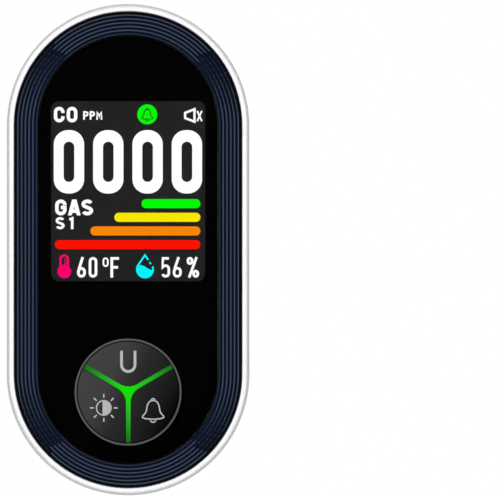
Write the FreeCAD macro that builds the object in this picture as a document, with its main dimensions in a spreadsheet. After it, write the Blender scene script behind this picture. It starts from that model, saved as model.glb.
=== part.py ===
import FreeCAD, Part
import math
import os
import re
import Sketcher

# A plug-in carbon monoxide detector, in millimetres.
# Origin: midway between the two mains blades, on the face that meets the wall outlet.
# +Y points into the wall, the display faces -Y, +Z is up.
# Depths in this file are counted back from the front face, heights from the centre of the housing.
SIZES = {
    # Whole detector
    "body_width": 59.3,
    "body_height": 120.0,
    "body_depth": 27.1,
    "total_depth": 42.4,
    "centre_drop": 36.0,
    # Front shell
    "rim_width": 1.78,
    "rim_round": 1.2,
    "rim_edge_round": 0.3,
    "frame_depth": 2.3,
    "deck_front": 1.7,
    "deck_back": 3.4,
    "skirt_back": 5.4,
    "skirt_wall": 1.25,
    "skirt_gap": 0.2,
    "window_gap": 0.3,
    "key_hole_radius": 13.9,
    # Rear shell
    "parting_gap": 0.05,
    "wall": 2.0,
    "taper_start": 5.0,
    "taper_end": 21.5,
    "taper_inset": 2.7,
    "back_inset": 12.5,
    "panel_front": 7.9,
    "panel_step": 0.45,
    "panel_bevel": 0.9,
    "panel_end_round": 0.35,
    "panel_top": 32.4,
    "panel_bottom": -30.4,
    "slot_front": 15.3,
    "slot_back": 23.1,
    "slot_height": 1.2,
    "slot_pitch": 4.8,
    "slot_top": 2.7,
    "side_slots": 7,
    "groove_back": 26.3,
    "groove_step": 0.4,
    "slot_reach": 8.0,
    "groove_foot": 1.2,
    "groove_heel": 4.6,
    "groove_slant": 0.6,
    "groove_sink": 0.2,
    "end_slots": 18,
    "end_slot_angle": 10.9,
    "end_slot_sweep": 158.2,
    "landing_back": 27.45,
    "landing_width": 19.0,
    "landing_bottom": 5.9,
    "landing_overlap": 2.0,
    "screen_front": 14.4,
    "screen_back": 24.0,
    "screen_top": 5.0,
    "screen_thick": 0.35,
    "screen_gap": 0.15,
    "screen_bend": 1.6,
    "screen_lean": 1.15,
    "screen_taper": 0.1,
    # Round boss on the back and the swivel
    "swivel_lift": 34.3,
    "boss_radius": 18.5,
    "boss_wall": 2.6,
    "boss_hole_front": 20.0,
    "boss_front": 24.3,
    "boss_back": 36.25,
    "boss_chamfer": 0.5,
    "boss_end_wall": 2.0,
    "boss_ledge": 30.7,
    "boss_lip_radius": 14.4,
    "spigot_radius": 7.0,
    "spigot_gap": 0.1,
    "spigot_end": 32.5,
    "track_front": 29.7,
    "track_back": 32.8,
    "track_floor": 17.75,
    "swivel_angle": 90.0,
    "track_margin": 9.5,
    # Window, bezel and display
    "bezel_gap": 0.12,
    "bezel_inset": 7.8,
    "bezel_face": 0.75,
    "ridge_first": 2.73,
    "ridge_pitch": 0.922,
    "ridge_width": 0.6,
    "lens_gap": 0.05,
    "lens_front": 0.4,
    "lens_back": 1.55,
    "ink_gap": 0.02,
    "display_width": 37.7,
    "display_height": 44.0,
    "display_lift": 14.3,
    "display_corner": 2.0,
    "gasket_border": 1.0,
    "panel_front_face": 2.3,
    "glass_width": 41.0,
    "glass_height": 52.0,
    "glass_back": 4.1,
    "light_inset": 0.4,
    "backlight_back": 5.3,
    "tray_border": 1.2,
    "tray_gap": 0.1,
    "tray_front": 3.45,
    "tail_front": 2.6,
    "flex_width": 12.0,
    "flex_thick": 0.3,
    "notch_drop": 1.4,
    "notch_height": 2.6,
    "tail_bend": 0.6,
    "tail_foot": 2.4,
    "tail_end": 6.0,
    "tail_step": 0.2,
    # Keys
    "keypad_drop": 34.75,
    "key_radius": 12.3,
    "key_gap": 0.2,
    "key_front": 0.35,
    "key_back": 1.9,
    "key_flange_radius": 13.3,
    "key_flange_back": 2.5,
    "key_stem_place": 7.6,
    "key_stem_radius": 1.6,
    "key_stem_back": 3.45,
    "key_ring_radius": 13.05,
    "key_ring_width": 0.45,
    "arm_width": 1.0,
    "arm_fillet": 4.2,
    "guide_back": 5.0,
    "key_lamp": 1.6,
    "plunger_radius": 1.5,
    "plunger_front": 3.5,
    "plunger_back": 5.2,
    "plunger_gap": 0.1,
    "switch_size": 6.0,
    "switch_front": 4.3,
    # Boards
    "board_front": 5.8,
    "board_back": 7.4,
    "board_radius": 26.2,
    "power_board_front": 22.4,
    "power_board_back": 24.0,
    "power_board_width": 34.0,
    "power_board_height": 30.0,
    "power_board_lift": 26.0,
    "power_hole_end": 25.6,
    "power_screw_side": 14.0,
    "power_screw_lift": 14.0,
    "processor_side": 9.0,
    "processor_drop": 4.0,
    "processor_size": 7.0,
    "processor_height": 0.9,
    "connector_drop": 20.3,
    "connector_width": 13.0,
    "connector_height": 1.4,
    "climate_drop": 52.0,
    "climate_size": 3.0,
    "climate_height": 1.0,
    # Sensors and sounder
    "sensor_side": 11.0,
    "sensor_drop": 38.0,
    "co_radius": 7.25,
    "co_height": 12.2,
    "co_cap_radius": 5.4,
    "co_cap_height": 1.3,
    "gas_base_radius": 6.4,
    "gas_base_height": 3.2,
    "gas_cap_radius": 5.6,
    "gas_cap_wall": 0.5,
    "gas_cap_height": 8.4,
    "gas_mesh_height": 0.5,
    "gas_mesh_place": 0.8,
    "buzzer_drop": 1.0,
    "buzzer_radius": 6.0,
    "buzzer_height": 9.5,
    "buzzer_port_radius": 1.0,
    "buzzer_port_depth": 2.0,
    # Power supply
    "core_side": 6.0,
    "core_lift": 27.0,
    "core_size": 13.0,
    "core_height": 11.5,
    "core_top": 2.0,
    "core_window_height": 7.5,
    "core_window": 8.0,
    "winding_width": 11.0,
    "winding_gap": 0.1,
    "capacitor_side": 8.0,
    "capacitor_lift": 32.0,
    "capacitor_radius": 4.0,
    "capacitor_height": 12.0,
    "small_capacitor_side": 9.0,
    "small_capacitor_lift": 38.3,
    "small_capacitor_radius": 2.5,
    "small_capacitor_height": 8.0,
    "rectifier_side": 9.0,
    "rectifier_lift": 25.0,
    "rectifier_width": 6.5,
    "rectifier_height": 4.8,
    "rectifier_tall": 2.6,
    "fuse_side": 1.0,
    "fuse_lift": 15.0,
    "fuse_radius": 1.8,
    "fuse_gap": 0.1,
    "fuse_length": 7.0,
    "link_side": 12.45,
    "link_lift": 20.0,
    "link_width": 5.08,
    "link_height": 2.5,
    "link_pin": 0.64,
    "link_pitch": 2.5,
    "supply_pin_lift": 37.0,
    "supply_pin_side": 3.0,
    "supply_pin_radius": 0.5,
    # Fasteners
    "case_screw_side": 14.0,
    "case_screw_lift": -16.5,
    "case_post_radius": 2.6,
    "case_post_back": 9.0,
    "column_radius": 3.2,
    "column_front": 9.1,
    "case_screw_radius": 1.3,
    "case_head_radius": 2.3,
    "case_head_height": 1.8,
    "counterbore_radius": 2.6,
    "counterbore_floor": 15.0,
    "case_screw_front": 5.0,
    "board_screw_radius": 0.8,
    "board_head_radius": 1.8,
    "board_head_height": 1.3,
    "board_post_radius": 2.2,
    "top_screw_side": 13.0,
    "top_screw_lift": 47.0,
    "low_screw_side": 14.0,
    "low_screw_lift": -48.5,
    "board_hole_front": 4.0,
    "hole_gap": 0.2,
    "post_gap": 0.3,
    # Rating label
    "label_drop": 34.0,
    "label_width": 24.0,
    "label_height": 16.0,
    "label_corner": 1.5,
    "label_thick": 0.12,
    # Plug head
    "plug_width": 37.4,
    "plug_top": 53.2,
    "plug_bottom": 7.4,
    "plug_front": 36.45,
    "plug_corner": 4.0,
    "plug_round": 0.9,
    "plug_floor": 2.0,
    "insert_radius": 15.9,
    "insert_gap": 0.1,
    "insert_back": 38.2,
    "insert_side": 11.5,
    "insert_drop": 6.0,
    "insert_hole_end": 0.6,
    "insert_head_room": 1.15,
    "insert_head_height": 1.05,
    "insert_screw_length": 3.35,
    "pin_gap": 0.05,
    "latch_box_width": 17.0,
    "latch_box_front": 27.65,
    "latch_box_wall": 2.0,
    "latch_box_floor": 2.8,
    "latch_box_top": 15.6,
    "latch_room_height": 10.0,
    "blade_spacing": 12.7,
    "blade_width": 6.35,
    "blade_thick": 1.5,
    "blade_length": 18.2,
    "blade_hole_radius": 2.35,
    "blade_hole_place": 13.7,
    "blade_corner": 1.4,
    "blade_bevel": 0.4,
    "blade_shoulder": 8.6,
    "arm_strip_back": 38.7,
    "arm_strip_lift": 0.6,
    "arm_strip_over": 1.8,
    "arm_strip_wide": 3.0,
    "pin_radius": 0.8,
    "pin_end": 31.05,
    "ring_thick": 0.3,
    "outer_ring_place": 4.4,
    "outer_ring_half": 1.0,
    "centre_ring_radius": 2.2,
    "disc_thick": 1.2,
    "disc_gap": 0.1,
    "clip_front": 33.05,
    "clip_back": 34.05,
    "clip_radius": 9.2,
    "clip_opening": 8.0,
    "neck_radius": 5.9,
    "latch_front": 29.9,
    "latch_pillar_back": 32.55,
    "latch_back": 36.3,
    "latch_width": 13.0,
    "latch_bottom": 10.9,
    "latch_top": 15.5,
    "latch_notch_height": 13.2,
    "latch_arm_bottom": 11.7,
    "finger_top": 16.6,
    "finger_width": 1.9,
    "tooth_width": 4.8,
    "tooth_top": 16.25,
    "latch_spring_radius": 0.85,
    "latch_spring_wire": 0.32,
    "latch_spring_bottom": 8.6,
    "latch_spring_length": 4.2,
    "latch_spring_pitch": 0.82,
    "spring_gap": 0.3,
}

document = FreeCAD.newDocument("carbon_monoxide_detector")
dims = document.addObject("Spreadsheet::Sheet", "dims")
for row, (alias, size) in enumerate(SIZES.items(), start=1):
    dims.set(f"A{row}", alias)
    dims.set(f"B{row}", str(size))
    dims.setAlias(f"B{row}", alias)
document.recompute()

BODY_R = "body_width/2"
END = "(body_height - body_width)/2"
BODY_SIDE = f"{BODY_R} - rim_width"
CAVITY_R = f"({BODY_R} - wall)"
PLUG_LIFT = "(plug_top + plug_bottom)/2"
Y_AXIS = FreeCAD.Vector(0, 1, 0)
ALONG_DEPTH = FreeCAD.Rotation(FreeCAD.Vector(1, 0, 0), -90)
ACROSS = FreeCAD.Rotation(Y_AXIS, 90)
RIDGES = 6
pieces = []


# ---------------------------------------------------------------- helpers
def formula(text):
    """A formula with each dimension name turned into a reference to the sheet."""
    return re.sub(r"[a-z][a-z_]*", lambda m: f"dims.{m[0]}" if m[0] in SIZES else m[0], text)


def value(text):
    """What a formula comes to now, in millimetres or degrees."""
    return float(dims.evalExpression(formula(text)))


def bind(thing, **formulas):
    for name, text in formulas.items():
        thing.setExpression(name, formula(text))


def place(thing, x="0", depth="0", height="0"):
    """Puts an object at a place given from the front face and the housing's centre."""
    thing.setExpression("Placement.Base.x", formula(x))
    thing.setExpression("Placement.Base.y", formula(f"{depth} - total_depth"))
    thing.setExpression("Placement.Base.z", formula(f"{height} - centre_drop"))
    return thing


def piece(label, thing):
    """Registers a finished sub-part under its own name."""
    thing.Label = label
    pieces.append(thing)
    return thing


def block(x, depth, height, wide, deep, tall):
    """A box centred on x and height, that starts at a depth and goes back from there."""
    box = document.addObject("Part::Box", "block")
    bind(box, Length=wide, Width=deep, Height=tall)
    return place(box, f"{x} - ({wide})/2", depth, f"{height} - ({tall})/2")


def rod(x, depth, height, radius, length):
    """A cylinder that starts at a depth and goes straight back."""
    cylinder = document.addObject("Part::Cylinder", "rod")
    bind(cylinder, Radius=radius, Height=length)
    cylinder.Placement = FreeCAD.Placement(FreeCAD.Vector(), ALONG_DEPTH)
    return place(cylinder, x, depth, height)


def cross_rod(x, depth, height, radius, length):
    """A cylinder that lies across the housing, from x towards +X."""
    cylinder = document.addObject("Part::Cylinder", "cross_rod")
    bind(cylinder, Radius=radius, Height=length)
    cylinder.Placement = FreeCAD.Placement(FreeCAD.Vector(), ACROSS)
    return place(cylinder, x, depth, height)


def fuse(*things):
    joined = document.addObject("Part::MultiFuse", "joined")
    joined.Shapes = list(things)
    return joined


def cut(base, *tools):
    result = document.addObject("Part::Cut", "cut")
    result.Base = base
    result.Tool = tools[0] if len(tools) == 1 else fuse(*tools)
    return result


def group(things):
    """Identical pieces that share one node, as separate solids."""
    together = document.addObject("Part::Compound", "together")
    together.Links = list(things)
    return together


def new_body(name):
    body = document.addObject("PartDesign::Body", name)
    return place(body)


def origin_feature(body, role):
    return next(f for f in body.Origin.OriginFeatures if f.Role == role)


def sketch_on(body, role, offset="0"):
    """A sketch on one of the body's origin planes, moved along the plane's normal."""
    sketch = body.newObject("Sketcher::SketchObject", "sketch")
    sketch.AttachmentSupport = [(origin_feature(body, role), "")]
    sketch.MapMode = "FlatFace"
    sketch.setExpression("AttachmentOffset.Base.z", formula(offset))
    return sketch


def fix(sketch, kind, geometry, point, text):
    """Fixes one coordinate of a point of a sketch to a formula."""
    number = sketch.addConstraint(Sketcher.Constraint(kind, -1, 1, geometry, point, value(text)))
    sketch.setExpression(f"Constraints[{number}]", formula(text))


def circle(sketch, x, y, radius):
    shape = Part.Circle(FreeCAD.Vector(value(x), value(y), 0), FreeCAD.Vector(0, 0, 1), value(radius))
    geometry = sketch.addGeometry(shape, False)
    fix(sketch, "DistanceX", geometry, 3, x)
    fix(sketch, "DistanceY", geometry, 3, y)
    number = sketch.addConstraint(Sketcher.Constraint("Radius", geometry, value(radius)))
    sketch.setExpression(f"Constraints[{number}]", formula(radius))


def outline(sketch, corners, arcs=None):
    """A closed outline through corners, which are pairs of formulas.

    arcs maps the number of a side to (centre x, centre y, held, turn): held is the centre's
    fixed coordinate, and turn is 1 for an anticlockwise arc and -1 for a clockwise one.
    """
    arcs = arcs or {}
    points = [FreeCAD.Vector(value(x), value(y), 0) for x, y in corners]
    first = sketch.GeometryCount
    ends = []
    for side, begin in enumerate(points):
        finish = points[(side + 1) % len(points)]
        if side not in arcs:
            sketch.addGeometry(Part.LineSegment(begin, finish), False)
            ends.append((1, 2))
            continue
        centre_x, centre_y, _, turn = arcs[side]
        centre = FreeCAD.Vector(value(centre_x), value(centre_y), 0)
        ring = Part.Circle(centre, FreeCAD.Vector(0, 0, 1), begin.distanceToPoint(centre))
        angles = [math.atan2(p.y - centre.y, p.x - centre.x) for p in (begin, finish)][::turn]
        sketch.addGeometry(Part.ArcOfCircle(ring, *angles), False)
        ends.append((1, 2)[::turn])
    for side, (start, stop) in enumerate(ends):
        after = (side + 1) % len(points)
        joint = Sketcher.Constraint("Coincident", first + side, stop, first + after, ends[after][0])
        sketch.addConstraint(joint)
        fix(sketch, "DistanceX", first + side, start, corners[side][0])
        fix(sketch, "DistanceY", first + side, start, corners[side][1])
    for side, (centre_x, centre_y, held, _) in arcs.items():
        kind, text = ("DistanceX", centre_x) if held == "x" else ("DistanceY", centre_y)
        fix(sketch, kind, first + side, 3, text)


def rectangle(sketch, x, y, wide, tall):
    left, right = f"{x} - ({wide})/2", f"{x} + ({wide})/2"
    low, high = f"{y} - ({tall})/2", f"{y} + ({tall})/2"
    outline(sketch, [(left, low), (right, low), (right, high), (left, high)])


def rounded_rectangle(sketch, x, y, wide, tall, corner):
    left, right = f"{x} - ({wide})/2", f"{x} + ({wide})/2"
    low, high = f"{y} - ({tall})/2", f"{y} + ({tall})/2"
    corners = [
        (f"{left} + {corner}", low),
        (f"{right} - {corner}", low),
        (right, f"{low} + {corner}"),
        (right, f"{high} - {corner}"),
        (f"{right} - {corner}", high),
        (f"{left} + {corner}", high),
        (left, f"{high} - {corner}"),
        (left, f"{low} + {corner}"),
    ]
    arcs = {
        1: (f"{right} - {corner}", f"{low} + {corner}", "x", 1),
        3: (f"{right} - {corner}", f"{high} - {corner}", "x", 1),
        5: (f"{left} + {corner}", f"{high} - {corner}", "x", 1),
        7: (f"{left} + {corner}", f"{low} + {corner}", "x", 1),
    }
    outline(sketch, corners, arcs)


def pill(sketch, radius):
    """The housing's outline, two half circles joined by straight sides, at another radius."""
    corners = [(radius, f"-{END}"), (radius, END), (f"-({radius})", END), (f"-({radius})", f"-{END}")]
    outline(sketch, corners, {1: ("0", END, "y", 1), 3: ("0", f"-{END}", "y", 1)})


def add(body, sketch, length, both_ways=False, reverse=False):
    pad = body.newObject("PartDesign::Pad", "pad")
    pad.Profile = sketch
    pad.setExpression("Length", formula(length))
    pad.SideType = "Symmetric" if both_ways else "One side"
    pad.Reversed = reverse
    body.Tip = pad
    return pad


def remove(body, sketch, length, both_ways=False, reverse=False):
    pocket = body.newObject("PartDesign::Pocket", "pocket")
    pocket.Profile = sketch
    pocket.setExpression("Length", formula(length))
    pocket.SideType = "Symmetric" if both_ways else "One side"
    pocket.Reversed = reverse
    body.Tip = pocket
    return pocket


def layer(body, front, back, draw):
    """Adds what draw puts in a sketch, from one depth back to another."""
    sketch = sketch_on(body, "XZ_Plane", f"-({front})")
    draw(sketch)
    return add(body, sketch, f"({back}) - ({front})", reverse=True)


def opening(body, front, back, draw):
    """Cuts what draw puts in a sketch, from one depth back to another."""
    sketch = sketch_on(body, "XZ_Plane", f"-({front})")
    draw(sketch)
    return remove(body, sketch, f"({back}) - ({front})")


def pattern(body, kind, original, **settings):
    """Repeats or mirrors one feature."""
    feature = body.newObject(f"PartDesign::{kind}", kind.lower())
    feature.Originals = [original]
    for name, setting in settings.items():
        if isinstance(setting, str):
            feature.setExpression(name, formula(setting))
        else:
            setattr(feature, name, setting)
    body.Tip = feature
    return feature


def mirror_sides(body, original):
    return pattern(body, "Mirrored", original, MirrorPlane=(origin_feature(body, "YZ_Plane"), [""]))


def turned_end(body, height, upward, draw):
    """Half a turn of a wall section about the middle of one round end of the housing."""
    sketch = sketch_on(body, "XY_Plane", height)
    draw(sketch)
    turn = body.newObject("PartDesign::Revolution", "turned_end")
    turn.Profile = sketch
    turn.ReferenceAxis = (sketch, ["V_Axis"])
    turn.Angle = 180
    turn.Reversed = upward
    body.Tip = turn
    return turn


def pill_section(body, draw):
    """Carries a wall section all round the housing's outline."""
    turned_end(body, END, True, draw)
    sketch = sketch_on(body, "XY_Plane")
    draw(sketch)
    side = add(body, sketch, f"2*{END}", both_ways=True)
    mirror_sides(body, side)
    turned_end(body, f"-{END}", False, draw)


def edges_where(shape, test):
    """Names of the edges whose every end and middle pass a test."""
    names = []
    for number, edge in enumerate(shape.Edges, start=1):
        middle = edge.valueAt((edge.FirstParameter + edge.LastParameter)/2)
        points = [vertex.Point for vertex in edge.Vertexes] + [middle]
        if all(test(point) for point in points):
            names.append(f"Edge{number}")
    return names


def dress(body, kind, size_name, size, test):
    """Rounds or bevels the edges of a body that pass a test, in the body's own coordinates."""
    document.recompute()
    base = body.Tip
    feature = body.newObject(f"PartDesign::{kind}", kind.lower())
    feature.Base = (base, edges_where(base.Shape, test))
    feature.setExpression(size_name, formula(size))
    body.Tip = feature
    return feature


def near(first, second, reach=0.02):
    return abs(first - second) < reach


# ---------------------------------------------------------------- front shell
def board_screw_places():
    top, low = ("top_screw_side", "top_screw_lift"), ("low_screw_side", "low_screw_lift")
    return [(way + side, lift) for side, lift in (top, low) for way in ("", "-")]


def case_screw_places():
    return [("case_screw_side", "case_screw_lift"), ("-case_screw_side", "case_screw_lift")]


def power_screw_places():
    return [("-power_screw_side", "power_screw_lift"), ("power_screw_side", "power_screw_lift")]


def display_window(sketch, border):
    """A rectangle round the display's glass, larger by a border all round."""
    rectangle(sketch, "0", "display_lift", f"glass_width + 2*({border})", f"glass_height + 2*({border})")


def tail_notch(sketch):
    """Room in the deck for the display's tail, below the window."""
    low = "display_lift - glass_height/2"
    rectangle(sketch, "0", f"{low} - notch_drop", "flex_width + 1", "notch_height")


def front_frame():
    body = new_body("front_frame")
    skirt_radius = f"{CAVITY_R} - skirt_gap"
    layer(body, "0", "frame_depth", lambda s: pill(s, BODY_R))
    layer(body, "frame_depth", "skirt_back", lambda s: pill(s, skirt_radius))
    opening(body, "deck_back", "skirt_back", lambda s: pill(s, f"{skirt_radius} - skirt_wall"))
    opening(body, "0", "deck_front", lambda s: pill(s, BODY_SIDE))
    opening(body, "deck_front", "deck_back", lambda s: display_window(s, "window_gap"))
    opening(body, "deck_front", "deck_back", lambda s: circle(s, "0", "-keypad_drop", "key_hole_radius"))
    opening(body, "tail_front - hole_gap", "deck_back", tail_notch)
    for x, height in board_screw_places():
        layer(body, "deck_back", "board_front", lambda s: circle(s, x, height, "board_post_radius"))
        screw_hole = lambda s: circle(s, x, height, "board_screw_radius")
        opening(body, "board_hole_front", "board_front", screw_hole)
    for x, height in case_screw_places():
        layer(body, "deck_back", "case_post_back", lambda s: circle(s, x, height, "case_post_radius"))
        hole = lambda s: circle(s, x, height, "case_screw_radius")
        opening(body, "case_screw_front", "case_post_back", hole)
    outer, inner = value(BODY_R), value(BODY_SIDE)

    def off_spine(point):
        return math.hypot(point.x, max(abs(point.z) - value(END), 0))

    dress(body, "Fillet", "Radius", "rim_round", lambda p: near(p.y, 0) and near(off_spine(p), outer))
    dress(body, "Fillet", "Radius", "rim_edge_round", lambda p: near(p.y, 0) and near(off_spine(p), inner))
    piece("front_frame", body)


# ---------------------------------------------------------------- rear shell
def shell_wall(sketch):
    """Half of the rear shell's section: a tapered wall that rounds over into a flat back."""
    crease = f"{BODY_R} - taper_inset"
    flat = f"{BODY_R} - back_inset"
    front = "frame_depth + parting_gap"
    corners = [
        ("0", "body_depth"),
        ("0", "body_depth - wall"),
        (flat, "body_depth - wall"),
        (f"{crease} - wall", "taper_end - 0.6"),
        (CAVITY_R, "taper_start"),
        (CAVITY_R, front),
        (BODY_R, front),
        (BODY_R, "taper_start"),
        (crease, "taper_end"),
        (flat, "body_depth"),
    ]
    bend = "((back_inset - taper_inset)^2 + (body_depth - taper_end)^2)/(2*(body_depth - taper_end))"
    middle = f"body_depth - {bend}"
    outline(sketch, corners, {2: (flat, f"{middle} + 1", "x", -1), 8: (flat, middle, "x", 1)})


def side_at(depth, inward="0"):
    """How far out a tapered side stands at a depth, less an inward step."""
    return f"({BODY_R} - ({inward}) - taper_inset*({depth} - taper_start)/(taper_end - taper_start))"


def side_panel(sketch):
    """Section of the shallow recess in a straight side: a bevel, then parallel to the wall."""
    outside = f"{BODY_R} + 1"
    begin, end = "(panel_front - panel_bevel)", "(panel_front + panel_bevel)"
    corners = [
        (outside, begin),
        (side_at(begin, "-panel_step"), begin),
        (side_at(end, "panel_step"), end),
        (side_at("body_depth", "panel_step"), "body_depth"),
        (outside, "body_depth"),
    ]
    outline(sketch, corners)


def vent_section(sketch):
    """A slot through the wall that runs on as a shallow groove over the rounded back edge."""
    crease = f"{BODY_R} - taper_inset"
    corners = [
        (f"{BODY_R} + 1", "slot_front"),
        (f"{BODY_R} - slot_reach", "slot_front"),
        (f"{BODY_R} - slot_reach", "slot_back"),
        (f"{crease} - groove_step - groove_foot", "slot_back"),
        (f"{crease} - groove_step - groove_heel - groove_slant", "groove_back - groove_sink"),
        (f"{crease} - groove_step - groove_heel", "groove_back"),
        (f"{BODY_R} + 1", "groove_back"),
    ]
    outline(sketch, corners)


def side_vents(body):
    sketch = sketch_on(body, "XY_Plane", "slot_top")
    vent_section(sketch)
    slot = remove(body, sketch, "slot_height", both_ways=True)
    down = (origin_feature(body, "Z_Axis"), [""])
    row = body.newObject("PartDesign::MultiTransform", "side_vents")
    row.Originals = [slot]
    series = body.newObject("PartDesign::LinearPattern", "vent_row")
    series.Direction = down
    series.Reversed = True
    series.setExpression("Length", formula("slot_pitch*(side_slots - 1)"))
    series.setExpression("Occurrences", formula("side_slots"))
    both = body.newObject("PartDesign::Mirrored", "vent_sides")
    both.MirrorPlane = (origin_feature(body, "YZ_Plane"), [""])
    row.Transformations = [series, both]
    body.Tip = row


def end_vents(body):
    sketch = sketch_on(body, "XY_Plane", f"-{END}")
    sketch.AttachmentOffset = FreeCAD.Placement(FreeCAD.Vector(), FreeCAD.Rotation(Y_AXIS, 1))
    sketch.setExpression("AttachmentOffset.Base.z", formula(f"-{END}"))
    sketch.setExpression("AttachmentOffset.Rotation.Angle", formula("end_slot_angle"))
    vent_section(sketch)
    slot = remove(body, sketch, "slot_height", both_ways=True)
    pattern(
        body,
        "PolarPattern",
        slot,
        Axis=(sketch, ["V_Axis"]),
        Angle="end_slot_sweep",
        Occurrences="end_slots",
    )


def latch_track(body):
    """The arc groove round the boss that the latch's tooth runs in; its ends stop the swivel."""
    sketch = sketch_on(body, "XY_Plane", "swivel_lift")
    rim = "boss_radius + 0.5"
    outline(
        sketch,
        [
            ("track_floor", "track_front"),
            (rim, "track_front"),
            (rim, "track_back"),
            ("track_floor", "track_back"),
        ],
    )
    track = body.newObject("PartDesign::Groove", "latch_track")
    track.Profile = sketch
    track.ReferenceAxis = (sketch, ["V_Axis"])
    track.Type = "TwoAngles"
    track.setExpression("Angle", formula("swivel_angle + track_margin"))
    track.setExpression("Angle2", formula("track_margin"))
    body.Tip = track


def side_recesses(body):
    sketch = sketch_on(body, "XY_Plane", "panel_bottom")
    side_panel(sketch)
    mirror_sides(body, remove(body, sketch, "panel_top - panel_bottom", reverse=True))
    heights = (value("panel_top"), value("panel_bottom"))
    front, back = value("panel_front"), value("taper_end")

    def at_end_of_panel(point):
        on_side = near(abs(point.x), value(side_at(f"{point.y}")))
        return on_side and front < point.y < back + 0.1 and any(near(point.z, z) for z in heights)

    dress(body, "Fillet", "Radius", "panel_end_round", at_end_of_panel)


def case_columns(body):
    """Two columns for the long screws from the back, with counterbores for their heads."""
    for x, height in case_screw_places():
        layer(body, "column_front", "body_depth - 1", lambda s: circle(s, x, height, "column_radius"))
        head_room = lambda s: circle(s, x, height, "counterbore_radius")
        opening(body, "counterbore_floor", "body_depth", head_room)
        shaft_room = lambda s: circle(s, x, height, "case_screw_radius + hole_gap")
        opening(body, "column_front", "body_depth", shaft_room)


def rear_housing():
    body = new_body("rear_housing")
    pill_section(body, shell_wall)
    side_recesses(body)
    side_vents(body)
    end_vents(body)

    def boss_disc(radius):
        return lambda s: circle(s, "0", "swivel_lift", radius)

    def landing(sketch):
        """A raised pad on the back, which the plug head's latch housing turns over."""
        top = "(swivel_lift - boss_radius + landing_overlap)"
        middle, tall = f"({top} + landing_bottom)/2", f"{top} - landing_bottom"
        rectangle(sketch, "0", middle, "landing_width", tall)

    layer(body, "body_depth - 1", "landing_back", landing)
    layer(body, "boss_front", "boss_back", boss_disc("boss_radius"))
    opening(body, "boss_hole_front", "boss_ledge", boss_disc("boss_radius - boss_wall"))
    opening(body, "boss_ledge", "boss_back - boss_end_wall", boss_disc("boss_lip_radius"))
    opening(body, "boss_back - boss_end_wall", "boss_back", boss_disc("spigot_radius + spigot_gap"))
    latch_track(body)
    case_columns(body)
    for x, height in power_screw_places():
        post = lambda s: circle(s, x, height, "board_post_radius")
        hole = lambda s: circle(s, x, height, "board_screw_radius")
        layer(body, "power_board_back", "body_depth - 1", post)
        opening(body, "power_board_back", "power_hole_end", hole)
    back, radius = value("boss_back"), value("boss_radius")
    lift = value("swivel_lift")
    dress(
        body,
        "Chamfer",
        "Size",
        "boss_chamfer",
        lambda p: near(p.y, back) and near(math.hypot(p.x, p.z - lift), radius),
    )
    piece("rear_housing", body)


def screen_section(sketch):
    """A thin strip just inside the wall, which turns in with it towards the back."""
    bend = "(taper_end - screen_bend)"
    clear = "wall + screen_gap"
    inner = "wall + screen_gap + screen_thick"
    turn_in = "(screen_back - taper_end + screen_bend)*screen_lean"
    corners = [
        (side_at("screen_front", inner), "screen_front"),
        (side_at("screen_front", clear), "screen_front"),
        (side_at(bend, clear), bend),
        (f"{side_at(bend, clear)} - {turn_in}", "screen_back"),
        (f"{side_at(bend, inner)} - {turn_in} - screen_taper", "screen_back"),
        (side_at(bend, inner), bend),
    ]
    outline(sketch, corners)


def vent_screen():
    """A gauze lining that keeps insects and dust out of the vents, down both sides and round the end."""
    body = new_body("vent_screen")
    turned_end(body, f"-{END}", False, screen_section)
    sketch = sketch_on(body, "XY_Plane", f"-{END}")
    screen_section(sketch)
    mirror_sides(body, add(body, sketch, f"{END} + screen_top"))
    piece("vent_screen", body)


# ---------------------------------------------------------------- window and display
def bezel_section(sketch):
    """Half section of the bezel: a flat ring with half-round ridges on its face."""
    outer = f"{BODY_SIDE} - bezel_gap"
    inner = f"{BODY_R} - bezel_inset"
    corners = [(inner, "deck_front"), (outer, "deck_front"), (outer, "bezel_face")]
    arcs = {}
    for ridge in range(RIDGES):
        middle = f"{BODY_R} - ridge_first - {ridge}*ridge_pitch"
        arcs[len(corners)] = (middle, "bezel_face", "y", -1)
        corners.append((f"{middle} + ridge_width/2", "bezel_face"))
        corners.append((f"{middle} - ridge_width/2", "bezel_face"))
    corners.append((inner, "bezel_face"))
    outline(sketch, corners, arcs)


def bezel_ring():
    body = new_body("bezel_ring")
    pill_section(body, bezel_section)
    piece("bezel_ring", body)


def window_layer(label, front, back, radius, cut_display):
    body = new_body(label)
    layer(body, front, back, lambda s: pill(s, radius))
    opening(body, front, back, lambda s: circle(s, "0", "-keypad_drop", "key_ring_radius"))
    if cut_display:
        opening(
            body,
            front,
            back,
            lambda s: rounded_rectangle(
                s, "0", "display_lift", "display_width", "display_height", "display_corner"
            ),
        )
    piece(label, body)


def display():
    gasket = new_body("display_gasket")
    wide, tall = "display_width + 2*gasket_border", "display_height + 2*gasket_border"
    layer(gasket, "deck_front", "panel_front_face", lambda s: rectangle(s, "0", "display_lift", wide, tall))
    opening(
        gasket,
        "deck_front",
        "panel_front_face",
        lambda s: rectangle(s, "0", "display_lift", "display_width", "display_height"),
    )
    piece("display_gasket", gasket)
    glass = "glass_back - panel_front_face"
    panel = block("0", "panel_front_face", "display_lift", "glass_width", glass, "glass_height")
    piece("display_panel", panel)
    deep = "backlight_back - glass_back"
    wide, tall = "glass_width - light_inset", "glass_height - light_inset"
    piece("display_backlight", block("0", "glass_back", "display_lift", wide, deep, tall))
    tray = new_body("display_tray")
    layer(tray, "tray_front", "board_front", lambda s: display_window(s, "tray_border"))
    opening(tray, "tray_front", "backlight_back", lambda s: display_window(s, "tray_gap"))
    piece("display_tray", tray)


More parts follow.
